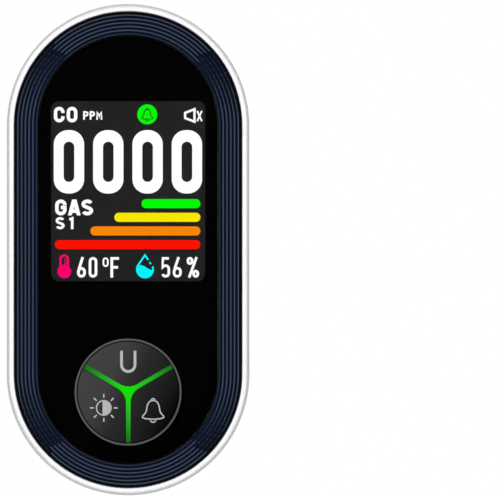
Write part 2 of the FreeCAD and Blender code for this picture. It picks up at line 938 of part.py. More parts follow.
def display_tail():
    """The display's flexible tail: out of the panel's lower edge and back to the board."""
    body = new_body("display_flex")
    sketch = sketch_on(body, "YZ_Plane")
    low = "display_lift - glass_height/2"
    lip = f"{low} - tray_border"
    corners = [
        ("tail_front", low),
        ("tail_front", f"{lip} - tail_bend"),
        ("board_front - flex_thick", f"{lip} - tail_foot"),
        ("board_front - flex_thick", f"{lip} - tail_end"),
        ("board_front", f"{lip} - tail_end"),
        ("board_front", f"{lip} - tail_foot + tail_step"),
        ("tail_front + flex_thick", f"{lip} - tail_bend + tail_step"),
        ("tail_front + flex_thick", low),
    ]
    outline(sketch, corners)
    add(body, sketch, "flex_width", both_ways=True)
    piece("display_flex", body)


# ---------------------------------------------------------------- keys
def keypad_body(name, angle):
    """A body whose own axis is the keypad's, turned about it by an angle."""
    body = document.addObject("PartDesign::Body", name)
    body.Placement = FreeCAD.Placement(FreeCAD.Vector(), FreeCAD.Rotation(Y_AXIS, angle))
    return place(body, height="-keypad_drop")


def key_sector(sketch, radius):
    """A third of a disc, kept clear of the light guide's arms on its two straight sides."""
    clear = "(arm_width/2 + key_gap)"
    along = f"sqrt(({radius})^2 - {clear}^2)"
    side = f"({along}*cos(30) - {clear}*sin(30))"
    rise = f"({along}*sin(30) + {clear}*cos(30))"
    corners = [("0", f"{clear}/cos(30)"), (side, rise), (f"-{side}", rise)]
    outline(sketch, corners, {1: ("0", "0", "y", 1)})


def key(label, angle):
    body = keypad_body(label, angle)
    layer(body, "key_front", "key_back", lambda s: key_sector(s, "key_radius"))
    layer(body, "key_back", "key_flange_back", lambda s: key_sector(s, "key_flange_radius"))
    layer(
        body,
        "key_flange_back",
        "key_stem_back",
        lambda s: circle(s, "0", "key_stem_place", "key_stem_radius"),
    )
    tip = value("arm_width/2 + key_gap")/math.cos(math.radians(30))
    dress(
        body,
        "Fillet",
        "Radius",
        "arm_fillet - key_gap",
        lambda p: near(p.x, 0) and near(p.z, tip),
    )
    piece(label, body)


def stem_place(angle):
    """Where a key's stem is, as formulas for x and height."""
    x = f"(key_stem_place*sin({angle}))"
    height = f"(key_stem_place*cos({angle}) - keypad_drop)"
    return x, height


def keypad():
    angles = {"unit": 0, "mute": 120, "brightness": 240}
    for name, angle in angles.items():
        key(f"{name}_key", angle)
        x, height = stem_place(angle)
        plunger = rod(x, "plunger_front", height, "plunger_radius", "plunger_back - plunger_front")
        piece(f"{name}_plunger", plunger)
    switches = []
    for angle in angles.values():
        x, height = stem_place(angle)
        body = block(x, "switch_front", height, "switch_size", "board_front - switch_front", "switch_size")
        hole = rod(x, "switch_front", height, "plunger_radius + plunger_gap", "board_front - switch_front")
        switches.append(cut(body, hole))
    piece("key_switches", group(switches))
    ring = cut(
        rod("0", "key_front", "-keypad_drop", "key_ring_radius", "deck_front - key_front"),
        rod("0", "key_front", "-keypad_drop", "key_ring_radius - key_ring_width", "deck_front - key_front"),
    )
    piece("key_ring", ring)


def light_guide():
    """A clear Y between the keys: three arms with rounded inner corners."""
    body = keypad_body("light_guide", 180)
    sketch = sketch_on(body, "XZ_Plane", "-key_front")
    rectangle(sketch, "0", "key_radius/2", "arm_width", "key_radius")
    arm = add(body, sketch, "guide_back - key_front", reverse=True)
    pattern(
        body,
        "PolarPattern",
        arm,
        Axis=(origin_feature(body, "Y_Axis"), [""]),
        Angle="360",
        Occurrences="3",
    )
    dress(body, "Fillet", "Radius", "arm_fillet", lambda p: math.hypot(p.x, p.z) < value("arm_width"))
    piece("light_guide", body)
    lamp = "board_front - guide_back"
    piece("key_light", block("0", "guide_back", "-keypad_drop", "key_lamp", lamp, "key_lamp"))


# ---------------------------------------------------------------- boards and what is on them
def main_board():
    body = new_body("main_board")
    layer(body, "board_front", "board_back", lambda s: pill(s, "board_radius"))
    for x, height in board_screw_places():
        screw_hole = lambda s: circle(s, x, height, "board_screw_radius + hole_gap")
        opening(body, "board_front", "board_back", screw_hole)
    for x, height in case_screw_places():
        post_hole = lambda s: circle(s, x, height, "case_post_radius + post_gap")
        opening(body, "board_front", "board_back", post_hole)
    piece("main_board", body)
    chip = "processor_size"
    piece("processor", block(
        "processor_side", "board_back", "-processor_drop", chip, "processor_height", chip
    ))
    piece("display_connector", block(
        "0", "board_front - connector_height", "-connector_drop", "connector_width", "connector_height", "2"
    ))
    piece("climate_sensor", block(
        "0", "board_back", "-climate_drop", "climate_size", "climate_height", "climate_size"
    ))


def screw(x, depth, height, shaft, length, head, head_height):
    """A pan head screw whose shaft reaches forward from a depth; its head has a cross recess."""
    rise = f"{depth} + ({head_height})/2"
    solid = fuse(
        rod(x, f"{depth} - ({length})", height, shaft, length),
        rod(x, depth, height, head, head_height),
    )
    recess = fuse(
        block(x, rise, height, f"1.3*{head}", head_height, f"0.3*{head}"),
        block(x, rise, height, f"0.3*{head}", head_height, f"1.3*{head}"),
    )
    return cut(solid, recess)


def fasteners():
    board = [
        screw(x, "board_back", y, "board_screw_radius", "3", "board_head_radius", "board_head_height")
        for x, y in board_screw_places()
    ]
    piece("board_screws", group(board))
    case = [
        screw(
            x,
            "counterbore_floor",
            y,
            "case_screw_radius",
            "counterbore_floor - case_screw_front",
            "case_head_radius",
            "case_head_height",
        )
        for x, y in case_screw_places()
    ]
    piece("case_screws", group(case))


def sensors():
    piece("co_sensor", fuse(
        rod("-sensor_side", "board_back", "-sensor_drop", "co_radius", "co_height"),
        rod("-sensor_side", "board_back + co_height", "-sensor_drop", "co_cap_radius", "co_cap_height"),
    ))
    piece("gas_sensor_base", rod(
        "sensor_side", "board_back", "-sensor_drop", "gas_base_radius", "gas_base_height"
    ))
    foot = "board_back + gas_base_height"
    inside = "gas_cap_radius - gas_cap_wall"
    piece("gas_sensor_cap", cut(
        rod("sensor_side", foot, "-sensor_drop", "gas_cap_radius", "gas_cap_height"),
        rod("sensor_side", foot, "-sensor_drop", inside, "gas_cap_height"),
    ))
    mesh_front = f"{foot} + gas_cap_height - gas_mesh_place"
    piece("gas_sensor_mesh", rod("sensor_side", mesh_front, "-sensor_drop", inside, "gas_mesh_height"))
    port_front = "board_back + buzzer_height - buzzer_port_depth"
    piece("buzzer", cut(
        rod("-sensor_side", "board_back", "-buzzer_drop", "buzzer_radius", "buzzer_height"),
        rod("-sensor_side", port_front, "-buzzer_drop", "buzzer_port_radius", "buzzer_port_depth"),
    ))


def power_board():
    thick = "power_board_back - power_board_front"
    board = block(
        "0", "power_board_front", "power_board_lift", "power_board_width", thick, "power_board_height"
    )
    holes = [
        rod(x, "power_board_front", height, "board_screw_radius + hole_gap", thick)
        for x, height in power_screw_places()
    ]
    piece("power_board", cut(board, *holes))
    screws = []
    for x, height in power_screw_places():
        shaft = rod(x, "power_board_front", height, "board_screw_radius", "3")
        top = "power_board_front - board_head_height"
        head = rod(x, top, height, "board_head_radius", "board_head_height")
        screws.append(fuse(shaft, head))
    piece("power_screws", group(screws))


def transformer():
    """A ferrite frame round a wound bobbin."""
    top = "power_board_front - core_height"
    window = f"{top} + core_top"
    piece("transformer_core", cut(
        block("-core_side", top, "core_lift", "core_size", "core_height", "core_size"),
        block("-core_side", window, "core_lift", "core_size + 1", "core_window_height", "core_window"),
    ))
    piece("transformer_winding", block(
        "-core_side",
        f"{window} + winding_gap",
        "core_lift",
        "winding_width",
        "core_window_height - 2*winding_gap",
        "core_window - 2*winding_gap",
    ))


def power_parts():
    """What stands on the power board, on its front side."""
    capacitors = [
        rod(x, f"power_board_front - {height}", lift, radius, height)
        for x, lift, radius, height in (
            ("capacitor_side", "capacitor_lift", "capacitor_radius", "capacitor_height"),
            (
                "-small_capacitor_side",
                "small_capacitor_lift",
                "small_capacitor_radius",
                "small_capacitor_height",
            ),
        )
    ]
    piece("filter_capacitors", group(capacitors))
    piece("bridge_rectifier", block(
        "rectifier_side",
        "power_board_front - rectifier_height",
        "rectifier_lift",
        "rectifier_width",
        "rectifier_height",
        "rectifier_tall",
    ))
    piece("mains_fuse", cross_rod(
        "-fuse_side", "power_board_front - fuse_radius - fuse_gap", "fuse_lift", "fuse_radius", "fuse_length"
    ))


def board_link():
    """Two pins from board to board, with a nylon block at each end."""
    reach = "power_board_front - board_back"
    pins = [
        block(f"link_side {side} link_pitch/2", "board_back", "link_lift", "link_pin", reach, "link_pin")
        for side in "+-"
    ]
    ends = [
        block("link_side", front, "link_lift", "link_width", "link_height", "link_height")
        for front in ("board_back", "power_board_front - link_height")
    ]
    piece("board_link", fuse(*ends, *pins))


# ---------------------------------------------------------------- contact disc in the boss
def contact_disc():
    rear = "boss_ledge - disc_thick"
    piece("slip_board", rod("0", rear, "swivel_lift", "boss_radius - boss_wall - disc_gap", "disc_thick"))
    centre = rod("0", "boss_ledge", "swivel_lift", "centre_ring_radius", "ring_thick")
    ring = cut(
        rod("0", "boss_ledge", "swivel_lift", "outer_ring_place + outer_ring_half", "ring_thick"),
        rod("0", "boss_ledge", "swivel_lift", "outer_ring_place - outer_ring_half", "ring_thick"),
    )
    piece("slip_rings", group([centre, ring]))
    pins = [
        rod(x, "power_board_back", "supply_pin_lift", "supply_pin_radius", f"{rear} - power_board_back")
        for x in ("-supply_pin_side", "supply_pin_side")
    ]
    piece("supply_pins", group(pins))


# ---------------------------------------------------------------- plug head
def plug_blade_places():
    return ("-blade_spacing/2", "blade_spacing/2")


def plug_base():
    body = new_body("plug_base")
    slab = lambda s: rounded_rectangle(
        s, "0", PLUG_LIFT, "plug_width", "plug_top - plug_bottom", "plug_corner"
    )
    layer(body, "plug_front", "total_depth", slab)
    front = value("plug_front")
    dress(body, "Fillet", "Radius", "plug_round", lambda p: near(p.y, front))
    lower_box = "(plug_bottom + latch_box_top)/2"
    tall = "latch_box_top - plug_bottom"
    latch_room = "plug_bottom + latch_box_floor + latch_room_height/2"
    layer(
        body,
        "latch_box_front",
        "total_depth - plug_floor",
        lambda s: rectangle(s, "0", lower_box, "latch_box_width", tall),
    )
    opening(
        body,
        "latch_box_front + latch_box_wall",
        "plug_front",
        lambda s: rectangle(s, "0", latch_room, "latch_box_width + 1", "latch_room_height"),
    )
    opening(
        body,
        "plug_front",
        "total_depth - plug_floor",
        lambda s: circle(s, "0", "swivel_lift", "insert_radius + insert_gap"),
    )
    for x in plug_blade_places():
        opening(
            body,
            "total_depth - plug_floor",
            "total_depth",
            lambda s: rectangle(s, x, "centre_drop", "blade_thick", "blade_width"),
        )
    screw_lift = "swivel_lift - insert_drop"
    for x in ("-insert_side", "insert_side"):
        layer(
            body,
            "insert_back",
            "total_depth - plug_floor",
            lambda s: circle(s, x, screw_lift, "board_post_radius"),
        )
        opening(
            body,
            "insert_back",
            "total_depth - plug_floor + insert_hole_end",
            lambda s: circle(s, x, screw_lift, "board_screw_radius"),
        )
    spring_hole = sketch_on(body, "XY_Plane", "plug_bottom + latch_box_floor")
    circle(spring_hole, "0", "(latch_front + latch_pillar_back)/2", "latch_spring_radius + spring_gap")
    remove(body, spring_hole, "plug_bottom + latch_box_floor - latch_spring_bottom")
    piece("plug_base", body)


def plug_insert():
    disc = rod("0", "plug_front", "swivel_lift", "insert_radius", "insert_back - plug_front")
    spigot = rod("0", "clip_back", "swivel_lift", "spigot_radius", "plug_front - clip_back")
    neck = rod("0", "clip_front", "swivel_lift", "neck_radius", "clip_back - clip_front")
    end = rod("0", "spigot_end", "swivel_lift", "spigot_radius", "clip_front - spigot_end")
    bores = [
        rod(x, "spigot_end", "swivel_lift", "pin_radius + pin_gap", "insert_back - spigot_end")
        for x in ("0", "outer_ring_place")
    ]
    screw_lift = "swivel_lift - insert_drop"
    screw_holes = []
    for x in ("-insert_side", "insert_side"):
        screw_holes.append(
            rod(x, "plug_front", screw_lift, "board_screw_radius + hole_gap", "insert_back - plug_front")
        )
        screw_holes.append(
            rod(x, "plug_front", screw_lift, "board_head_radius + hole_gap", "insert_head_room")
        )
    piece("plug_insert", cut(fuse(disc, spigot, neck, end), *bores, *screw_holes))
    screws = []
    for x in ("-insert_side", "insert_side"):
        seat = "plug_front + insert_head_room"
        head_front = f"{seat} - insert_head_height"
        head = rod(x, head_front, screw_lift, "board_head_radius", "insert_head_height")
        shaft = rod(x, seat, screw_lift, "board_screw_radius", "insert_screw_length")
        screws.append(fuse(head, shaft))
    piece("insert_screws", group(screws))
    ring = cut(
        rod("0", "clip_front", "swivel_lift", "clip_radius", "clip_back - clip_front"),
        rod("0", "clip_front", "swivel_lift", "neck_radius", "clip_back - clip_front"),
        block("0", "clip_front", "swivel_lift + clip_radius", "clip_opening", "2", "2*clip_radius"),
    )
    piece("retaining_clip", ring)


def blade(x):
    """One flat blade with a hole, rounded corners, a bevelled tip and a shoulder in the plug head."""
    body = document.addObject("PartDesign::Body", "blade")
    place(body, x, "total_depth", "centre_drop")
    sketch = sketch_on(body, "YZ_Plane")
    tail = "-plug_floor"
    root = "arm_strip_back - total_depth"
    half = "blade_width/2"
    wide = "blade_shoulder/2"
    tip = "blade_length"
    corners = [
        (root, f"-{wide}"),
        (tail, f"-{wide}"),
        (tail, f"-{half}"),
        (f"{tip} - blade_corner", f"-{half}"),
        (tip, f"-{half} + blade_corner"),
        (tip, f"{half} - blade_corner"),
        (f"{tip} - blade_corner", half),
        (tail, half),
        (tail, wide),
        (root, wide),
    ]
    corner_x = f"{tip} - blade_corner"
    arcs = {
        3: (corner_x, f"-{half} + blade_corner", "x", 1),
        5: (corner_x, f"{half} - blade_corner", "x", 1),
    }
    outline(sketch, corners, arcs)
    circle(sketch, "blade_hole_place", "0", "blade_hole_radius")
    add(body, sketch, "blade_thick", both_ways=True)
    end = value("blade_length")
    flat = value("blade_width/2 - blade_corner")
    dress(
        body,
        "Chamfer",
        "Size",
        "blade_bevel",
        lambda p: p.y > end - value("blade_corner") - 0.1 and abs(p.x) > 0.1 and abs(p.z) < flat + 2,
    )
    return body


def blades():
    piece("plug_blades", group([blade(x) for x in plug_blade_places()]))


def contact_arms():
    """From each blade's shoulder to a pin: one on the swivel's axis, one on the outer ring."""
    arms = []
    for blade_x, pin_x in zip(plug_blade_places(), ("0", "outer_ring_place")):
        pin = rod(pin_x, "pin_end", "swivel_lift", "pin_radius", "insert_back - pin_end")
        middle = f"(({blade_x}) + ({pin_x}))/2"
        gap = f"abs(({blade_x}) - ({pin_x}))"
        thick = "arm_strip_back - insert_back"
        lift, wide = "swivel_lift + arm_strip_lift", f"{gap} + arm_strip_over"
        strip = block(middle, "insert_back", lift, wide, thick, "arm_strip_wide")
        arms.append(fuse(pin, strip))
    piece("contact_arms", group(arms))


def latch():
    """A slider with finger ends at both sides, and a tooth in the boss's arc groove."""
    body = new_body("plug_latch")
    sketch = sketch_on(body, "YZ_Plane")
    corners = [
        ("latch_front", "latch_bottom"),
        ("latch_pillar_back", "latch_bottom"),
        ("latch_pillar_back", "latch_notch_height"),
        ("latch_back", "latch_arm_bottom"),
        ("latch_back", "latch_top"),
        ("latch_front", "latch_top"),
    ]
    outline(sketch, corners)
    add(body, sketch, "latch_width", both_ways=True)
    tooth = sketch_on(body, "YZ_Plane")
    inside = "(latch_front + 0.1)"
    corners = [
        (inside, "latch_top - 1"),
        ("latch_pillar_back", "latch_top - 1"),
        ("latch_pillar_back", "tooth_top"),
        (inside, "tooth_top"),
    ]
    outline(tooth, corners)
    add(body, tooth, "tooth_width", both_ways=True)
    finger = sketch_on(body, "YZ_Plane", "latch_width/2")
    corners = [
        ("latch_front", "latch_bottom"),
        ("latch_pillar_back", "latch_bottom"),
        ("latch_pillar_back", "latch_notch_height"),
        ("latch_back", "latch_arm_bottom"),
        ("latch_back", "finger_top"),
        ("latch_pillar_back", "latch_top"),
        ("latch_front", "latch_top"),
    ]
    outline(finger, corners)
    mirror_sides(body, add(body, finger, "finger_width"))
    hole = sketch_on(body, "XY_Plane", "latch_bottom")
    circle(hole, "0", "(latch_front + latch_pillar_back)/2", "latch_spring_radius + spring_gap")
    remove(body, hole, "latch_spring_bottom + latch_spring_length - latch_bottom", reverse=True)
    piece("plug_latch", body)


def latch_spring():
    path = document.addObject("Part::Helix", "spring_path")
    bind(
        path,
        Pitch="latch_spring_pitch",
        Height="latch_spring_length - latch_spring_wire",
        Radius="latch_spring_radius - latch_spring_wire/2",
    )
    wire = document.addObject("Part::RegularPolygon", "spring_wire")
    wire.Polygon = 12
    bind(wire, Circumradius="latch_spring_wire/2")
    wire.Placement = FreeCAD.Placement(FreeCAD.Vector(), FreeCAD.Rotation(FreeCAD.Vector(1, 0, 0), 90))
    wire.setExpression("Placement.Base.x", formula("latch_spring_radius - latch_spring_wire/2"))
    spring = document.addObject("Part::Sweep", "latch_spring")
    spring.Sections = [wire]
    spring.Spine = (path, ["Edge1"])
    spring.Solid = True
    spring.Frenet = True
    place(
        spring,
        depth="(latch_front + latch_pillar_back)/2",
        height="latch_spring_bottom + latch_spring_wire/2",
    )
    piece("latch_spring", spring)


def rating_label():
    body = new_body("rating_label")
    layer(
        body,
        "body_depth",
        "body_depth + label_thick",
        lambda s: rounded_rectangle(s, "0", "-label_drop", "label_width", "label_height", "label_corner"),
    )
    piece("rating_label", body)


# ---------------------------------------------------------------- the whole detector
front_frame()
rear_housing()
vent_screen()
bezel_ring()
window_layer("front_lens", "lens_front", "lens_back", f"{BODY_R} - bezel_inset - lens_gap", False)
window_layer("lens_mask", "lens_back + ink_gap", "deck_front", f"{BODY_R} - bezel_inset - lens_gap", True)
display()
display_tail()
keypad()
light_guide()
main_board()
fasteners()
sensors()
power_board()
transformer()
power_parts()
board_link()
contact_disc()
plug_base()
plug_insert()
blades()
contact_arms()
latch()
latch_spring()
rating_label()
document.recompute()

# ---------------------------------------------------------------- checks and export
problems = []
for thing in document.Objects:
    if "Invalid" in thing.State or "Error" in thing.State:
        owner = thing.getParentGeoFeatureGroup()
        problems.append(f"{thing.Name} in {owner.Label if owner else 'the document'}: {thing.State}")
    elif thing.TypeId in ("PartDesign::Pocket", "PartDesign::Groove"):
        if thing.Shape.Volume > thing.BaseFeature.Shape.Volume - 1e-4:
            problems.append(f"{thing.Name} in {thing.getParentGeoFeatureGroup().Label} cuts nothing")
for thing in pieces:
    shape = thing.Shape
    if shape.isNull() or not shape.isValid() or not shape.Solids:
        problems.append(f"{thing.Label} has no valid solid")
if problems:
    raise SystemExit("\n".join(problems))
os.makedirs("parts", exist_ok=True)
for thing in pieces:
    thing.Shape.exportStep(f"parts/{thing.Label}.step")
print(len(pieces), "pieces")
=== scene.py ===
import math

import bmesh
import bpy
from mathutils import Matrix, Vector


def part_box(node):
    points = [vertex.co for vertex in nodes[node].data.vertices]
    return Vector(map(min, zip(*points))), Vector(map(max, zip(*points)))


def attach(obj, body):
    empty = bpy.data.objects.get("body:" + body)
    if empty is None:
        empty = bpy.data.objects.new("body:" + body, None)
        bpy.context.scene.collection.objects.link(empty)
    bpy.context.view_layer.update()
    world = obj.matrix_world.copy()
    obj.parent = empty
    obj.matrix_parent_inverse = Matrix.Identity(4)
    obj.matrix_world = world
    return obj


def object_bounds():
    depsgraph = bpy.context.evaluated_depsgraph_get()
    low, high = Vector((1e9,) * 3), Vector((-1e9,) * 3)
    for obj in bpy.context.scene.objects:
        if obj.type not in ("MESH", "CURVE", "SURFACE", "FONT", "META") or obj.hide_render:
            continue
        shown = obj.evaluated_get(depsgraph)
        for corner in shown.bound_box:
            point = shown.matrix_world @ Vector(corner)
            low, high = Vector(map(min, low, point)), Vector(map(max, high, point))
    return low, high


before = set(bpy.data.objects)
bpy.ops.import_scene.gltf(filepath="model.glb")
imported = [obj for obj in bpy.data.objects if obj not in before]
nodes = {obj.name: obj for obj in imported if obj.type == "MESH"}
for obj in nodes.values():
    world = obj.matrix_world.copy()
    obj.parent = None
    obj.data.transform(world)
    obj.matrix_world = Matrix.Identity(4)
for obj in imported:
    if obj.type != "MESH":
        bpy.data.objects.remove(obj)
cad_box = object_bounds()

# ---------------------------------------------------------------- places, worked out from the frame
MM = 0.001
shell_low, shell_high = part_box("front_frame")
FRONT = shell_low.y
CENTRE_X = (shell_low.x + shell_high.x) / 2
CENTRE_Z = (shell_low.z + shell_high.z) / 2
HALF_WIDTH = (shell_high.x - shell_low.x) / 2
HALF_STRAIGHT = (shell_high.z - shell_low.z) / 2 - HALF_WIDTH
GASKET_BORDER = 1.0 * MM
gasket_low, gasket_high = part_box("display_gasket")
DISPLAY_LEFT = gasket_low.x + GASKET_BORDER
DISPLAY_TOP = gasket_high.z - GASKET_BORDER
DISPLAY_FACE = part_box("display_panel")[0].y
ring_low, ring_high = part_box("key_ring")
KEYPAD_X = (ring_low.x + ring_high.x) / 2
KEYPAD_Z = (ring_low.z + ring_high.z) / 2
KEYPAD_RADIUS = (ring_high.x - ring_low.x) / 2
KEY_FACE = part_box("unit_key")[0].y
BEZEL_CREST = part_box("bezel_ring")[0].y
BEZEL_OUTSIDE, BEZEL_INSIDE = 2.2 * MM, 7.6 * MM
RIM_ROUND = 1.4 * MM
PIXEL_PITCH, PIXEL_GAP = 0.14 * MM, 0.012 * MM
SIGN_THICK = 0.03 * MM
KEY_SIGN_THICK = 0.02 * MM
ARC_STEP = math.radians(8)


# ---------------------------------------------------------------- materials
class Nodes:
    """A material's node tree, built up round its Principled shader."""

    def __init__(self, name, **inputs):
        self.material = bpy.data.materials.new(name)
        self.material.use_nodes = True
        self.tree = self.material.node_tree
        self.shader = self.tree.nodes["Principled BSDF"]
        for key, setting in inputs.items():
            socket = self.shader.inputs[key.replace("_", " ")]
            socket.default_value = (*setting, 1) if isinstance(setting, tuple) else setting
        self.place = self.tree.nodes.new("ShaderNodeTexCoord").outputs["Object"]

    def add(self, kind, **links):
        """A node of a kind; capital-letter links are sockets or numbers, the others properties."""
        node = self.tree.nodes.new("ShaderNode" + kind)
        for key, setting in links.items():
            if key[0].islower():
                setattr(node, key, setting)
            else:
                self.connect(setting, node.inputs[key.replace("_", " ")])
        return node

    def connect(self, source, socket):
        if isinstance(source, bpy.types.NodeSocket):
            self.tree.links.new(source, socket)
        else:
            socket.default_value = source

    def set(self, key, source):
        self.connect(source, self.shader.inputs[key])

    def noise(self, scale, detail=3.0, stretch=(1, 1, 1)):
        """Grain of a size: scale is in cells per metre."""
        squash = self.add("Mapping", Vector=self.place, Scale=stretch)
        return self.add("TexNoise", Vector=squash.outputs[0], Scale=scale, Detail=detail).outputs["Fac"]

    def ramp(self, value, *stops):
        """Colours at places along a value that runs from 0 to 1."""
        ramp = self.add("ValToRGB", Fac=value)
        elements = ramp.color_ramp.elements
        while len(elements) < len(stops):
            elements.new(0.5)
        for element, (place, colour) in zip(elements, stops):
            element.position = place
            element.color = (*colour, 1)
        return ramp.outputs[0]

    def spread(self, value, low, high):
        """A value from 0 to 1 brought between two others."""
        return self.add("MapRange", Value=value, To_Min=low, To_Max=high).outputs[0]

    def bump(self, height, strength, distance):
        bump = self.add("Bump", Height=height, Strength=strength, Distance=distance)
        self.set("Normal", bump.outputs[0])

    def along(self, axis):
        return self.add("SeparateXYZ", Vector=self.place).outputs[axis]

    def math(self, operation, *values):
        node = self.add("Math", operation=operation)
        for value, socket in zip(values, node.inputs):
            self.connect(value, socket)
        return node.outputs[0]

    def between(self, value, low, high):
        """0 where a value is low, 1 where it is high."""
        return self.add("MapRange", Value=value, From_Min=low, From_Max=high).outputs[0]


def grey(level):
    return (level, level, level)


def shade(colour, factor):
    return tuple(part * factor for part in colour)


def moulded(name, colour, rough, grain=9000, relief=0.10, **inputs):
    """Moulded plastic: spark-eroded grain, faint flow marks in the gloss, faint tone changes."""
    made = Nodes(name, **inputs)
    flow = made.noise(45, 2)
    fine = made.noise(grain, 4)
    made.set("Base Color", made.ramp(flow, (0.3, shade(colour, 0.975)), (0.7, colour)))
    made.set("Roughness", made.spread(made.noise(260, 3), rough - 0.05, rough + 0.05))
    made.bump(fine, relief, 0.02 * MM)
    return made.material


def rim_plastic_painted_shade(colour, rough):
    """The shell's white plastic, with painted shade: greyer where the rim's outer edge rounds away."""
    made = Nodes("rim_white_painted_shade", IOR=1.5, Coat_Weight=0.35, Coat_Roughness=0.25)
    # painted shade: the rim's rounded outer edge is painted grey, standing in for shade where it turns
    # away from the light
    depth = made.between(made.along("Y"), FRONT, FRONT + RIM_ROUND)
    painted_shade_tones = ((0, 1), (0.02, 0.90), (0.07, 0.75), (0.17, 0.55), (0.40, 0.57), (0.75, 0.80), (1, 1))
    edge = made.ramp(depth, *((place, shade(colour, level)) for place, level in painted_shade_tones))
    made.set("Base Color", edge)
    made.set("Roughness", made.spread(made.noise(260, 3), rough - 0.05, rough + 0.05))
    made.bump(made.noise(9000, 4), 0.10, 0.02 * MM)
    return made.material


def inset(made):
    """How far a point lies inside the detector's outline, seen from the front."""
    sideways = made.math("SUBTRACT", made.along("X"), CENTRE_X)
    upward = made.math("ABSOLUTE", made.math("SUBTRACT", made.along("Z"), CENTRE_Z))
    past_straight = made.math("MAXIMUM", made.math("SUBTRACT", upward, HALF_STRAIGHT), 0.0)
    squares = [made.math("MULTIPLY", side, side) for side in (sideways, past_straight)]
    off_spine = made.math("SQRT", made.math("ADD", *squares))
    return made.math("SUBTRACT", HALF_WIDTH, off_spine)


def bezel_paint_painted_highlights():
    """Dark blue lacquer: black in the outer grooves, navy in the inner ones, with painted steel-blue
    highlights on the crests.
    """
    made = Nodes("bezel_paint_painted_highlights", IOR=1.45, Specular_IOR_Level=0.08)
    across = made.between(inset(made), BEZEL_OUTSIDE, BEZEL_INSIDE)
    groove = made.ramp(
        across,
        (0.0, (0.0004, 0.0006, 0.0012)),
        (0.14, (0.0008, 0.0030, 0.0110)),
        (0.90, (0.0008, 0.0050, 0.0190)),
        (1.0, (0.0006, 0.0020, 0.0060)),
    )
    # painted highlight: the ridge crests are painted a lighter steel blue where lamps would glint on them
    painted_crest_highlight = made.ramp(across, (0.85, (0.0400, 0.0540, 0.0840)), (0.95, (0.0150, 0.0180, 0.0240)))
    highlight_foot, highlight_top = BEZEL_CREST + 0.060 * MM, BEZEL_CREST + 0.015 * MM
    height = made.between(made.along("Y"), highlight_foot, highlight_top)
    blend = made.add("Mix", data_type="RGBA")
    made.connect(height, blend.inputs[0])
    made.connect(groove, blend.inputs[6])
    made.connect(painted_crest_highlight, blend.inputs[7])
    made.set("Base Color", blend.outputs[2])
    made.set("Roughness", made.spread(made.noise(600, 3), 0.38, 0.50))
    made.bump(made.noise(12000, 3), 0.05, 0.01 * MM)
    return made.material


def acrylic():
    """Clear cast acrylic, with the faintest waviness in its polish."""
    made = Nodes("acrylic", Base_Color=(1.0, 1.0, 1.0), Transmission_Weight=1.0, IOR=1.49)
    made.set("Roughness", made.spread(made.noise(120, 2), 0.0, 0.02))
    return made.material


def mask_ink():
    """Black ink on the back of the window, with the screen print's fine pinholes in its gloss."""
    made = Nodes("mask_ink", Base_Color=grey(0.0006), Specular_IOR_Level=0.02)
    made.set("Roughness", made.spread(made.noise(5000, 3), 0.5, 0.7))
    return made.material


def pixel_weave(made):
    """The display's fine pixel grid: 1 on a pixel, a little less in the gaps."""
    upright = made.add("Mapping", Vector=made.place, Rotation=(math.pi / 2, 0, 0))
    grid = made.add("TexBrick", Vector=upright.outputs[0])
    grid.offset = 0.0
    grid.inputs["Scale"].default_value = 1.0
    grid.inputs["Brick Width"].default_value = PIXEL_PITCH
    grid.inputs["Row Height"].default_value = PIXEL_PITCH
    grid.inputs["Mortar Size"].default_value = PIXEL_GAP
    grid.inputs["Color1"].default_value = (1, 1, 1, 1)
    grid.inputs["Color2"].default_value = (0.97, 0.97, 0.97, 1)
    grid.inputs["Mortar"].default_value = (0.86, 0.86, 0.86, 1)
    return grid.outputs["Color"]


def lit(name, colour, strength=1.08):
    """A lit part of the display's picture."""
    made = Nodes(name, Base_Color=grey(0.0), Roughness=0.6, Specular_IOR_Level=0.0)
    tint = made.add("Mix", data_type="RGBA", blend_type="MULTIPLY")
    made.connect(1.0, tint.inputs[0])
    made.connect((*colour, 1), tint.inputs[6])
    made.connect(pixel_weave(made), tint.inputs[7])
    made.set("Emission Color", tint.outputs[2])
    made.set("Emission Strength", strength)
    return made.material


def dark_display():
    """The display's unlit ground, which lets a little backlight through."""
    made = Nodes("dark_display", Base_Color=grey(0.004), Specular_IOR_Level=0.1)
    made.set("Emission Color", made.ramp(made.noise(60, 2), (0.3, grey(0.94)), (0.7, grey(1.0))))
    made.set("Emission Strength", 0.0135)
    made.set("Roughness", made.spread(made.noise(900, 2), 0.3, 0.4))
    return made.material


def key_cap_painted_shading():
    """Dark satin key plastic with painted light and shade: lighter towards the keypad's upper left, darker
    towards its lower right.
    """
    made = Nodes("key_cap_painted_shading", IOR=1.45, Specular_IOR_Level=0.03)
    across = made.between(made.along("X"), KEYPAD_X + KEYPAD_RADIUS, KEYPAD_X - KEYPAD_RADIUS)
    upward = made.between(made.along("Z"), KEYPAD_Z - KEYPAD_RADIUS, KEYPAD_Z + KEYPAD_RADIUS)
    # painted light and shade: one gradient across the keypad, lighter at the upper left and darker at the
    # lower right, as if lit from the upper left
    painted_light_slope = made.math("ADD", made.math("MULTIPLY", across, 0.65), made.math("MULTIPLY", upward, 0.35))
    painted_shade_tones = ((0.15, 0.0003), (0.28, 0.0080), (0.50, 0.0185), (0.66, 0.0395), (0.80, 0.0430))
    made.set("Base Color", made.ramp(painted_light_slope, *((place, grey(level)) for place, level in painted_shade_tones)))
    made.set("Roughness", made.spread(made.noise(1500, 4), 0.42, 0.52))
    made.bump(made.noise(15000, 3), 0.06, 0.01 * MM)
    return made.material


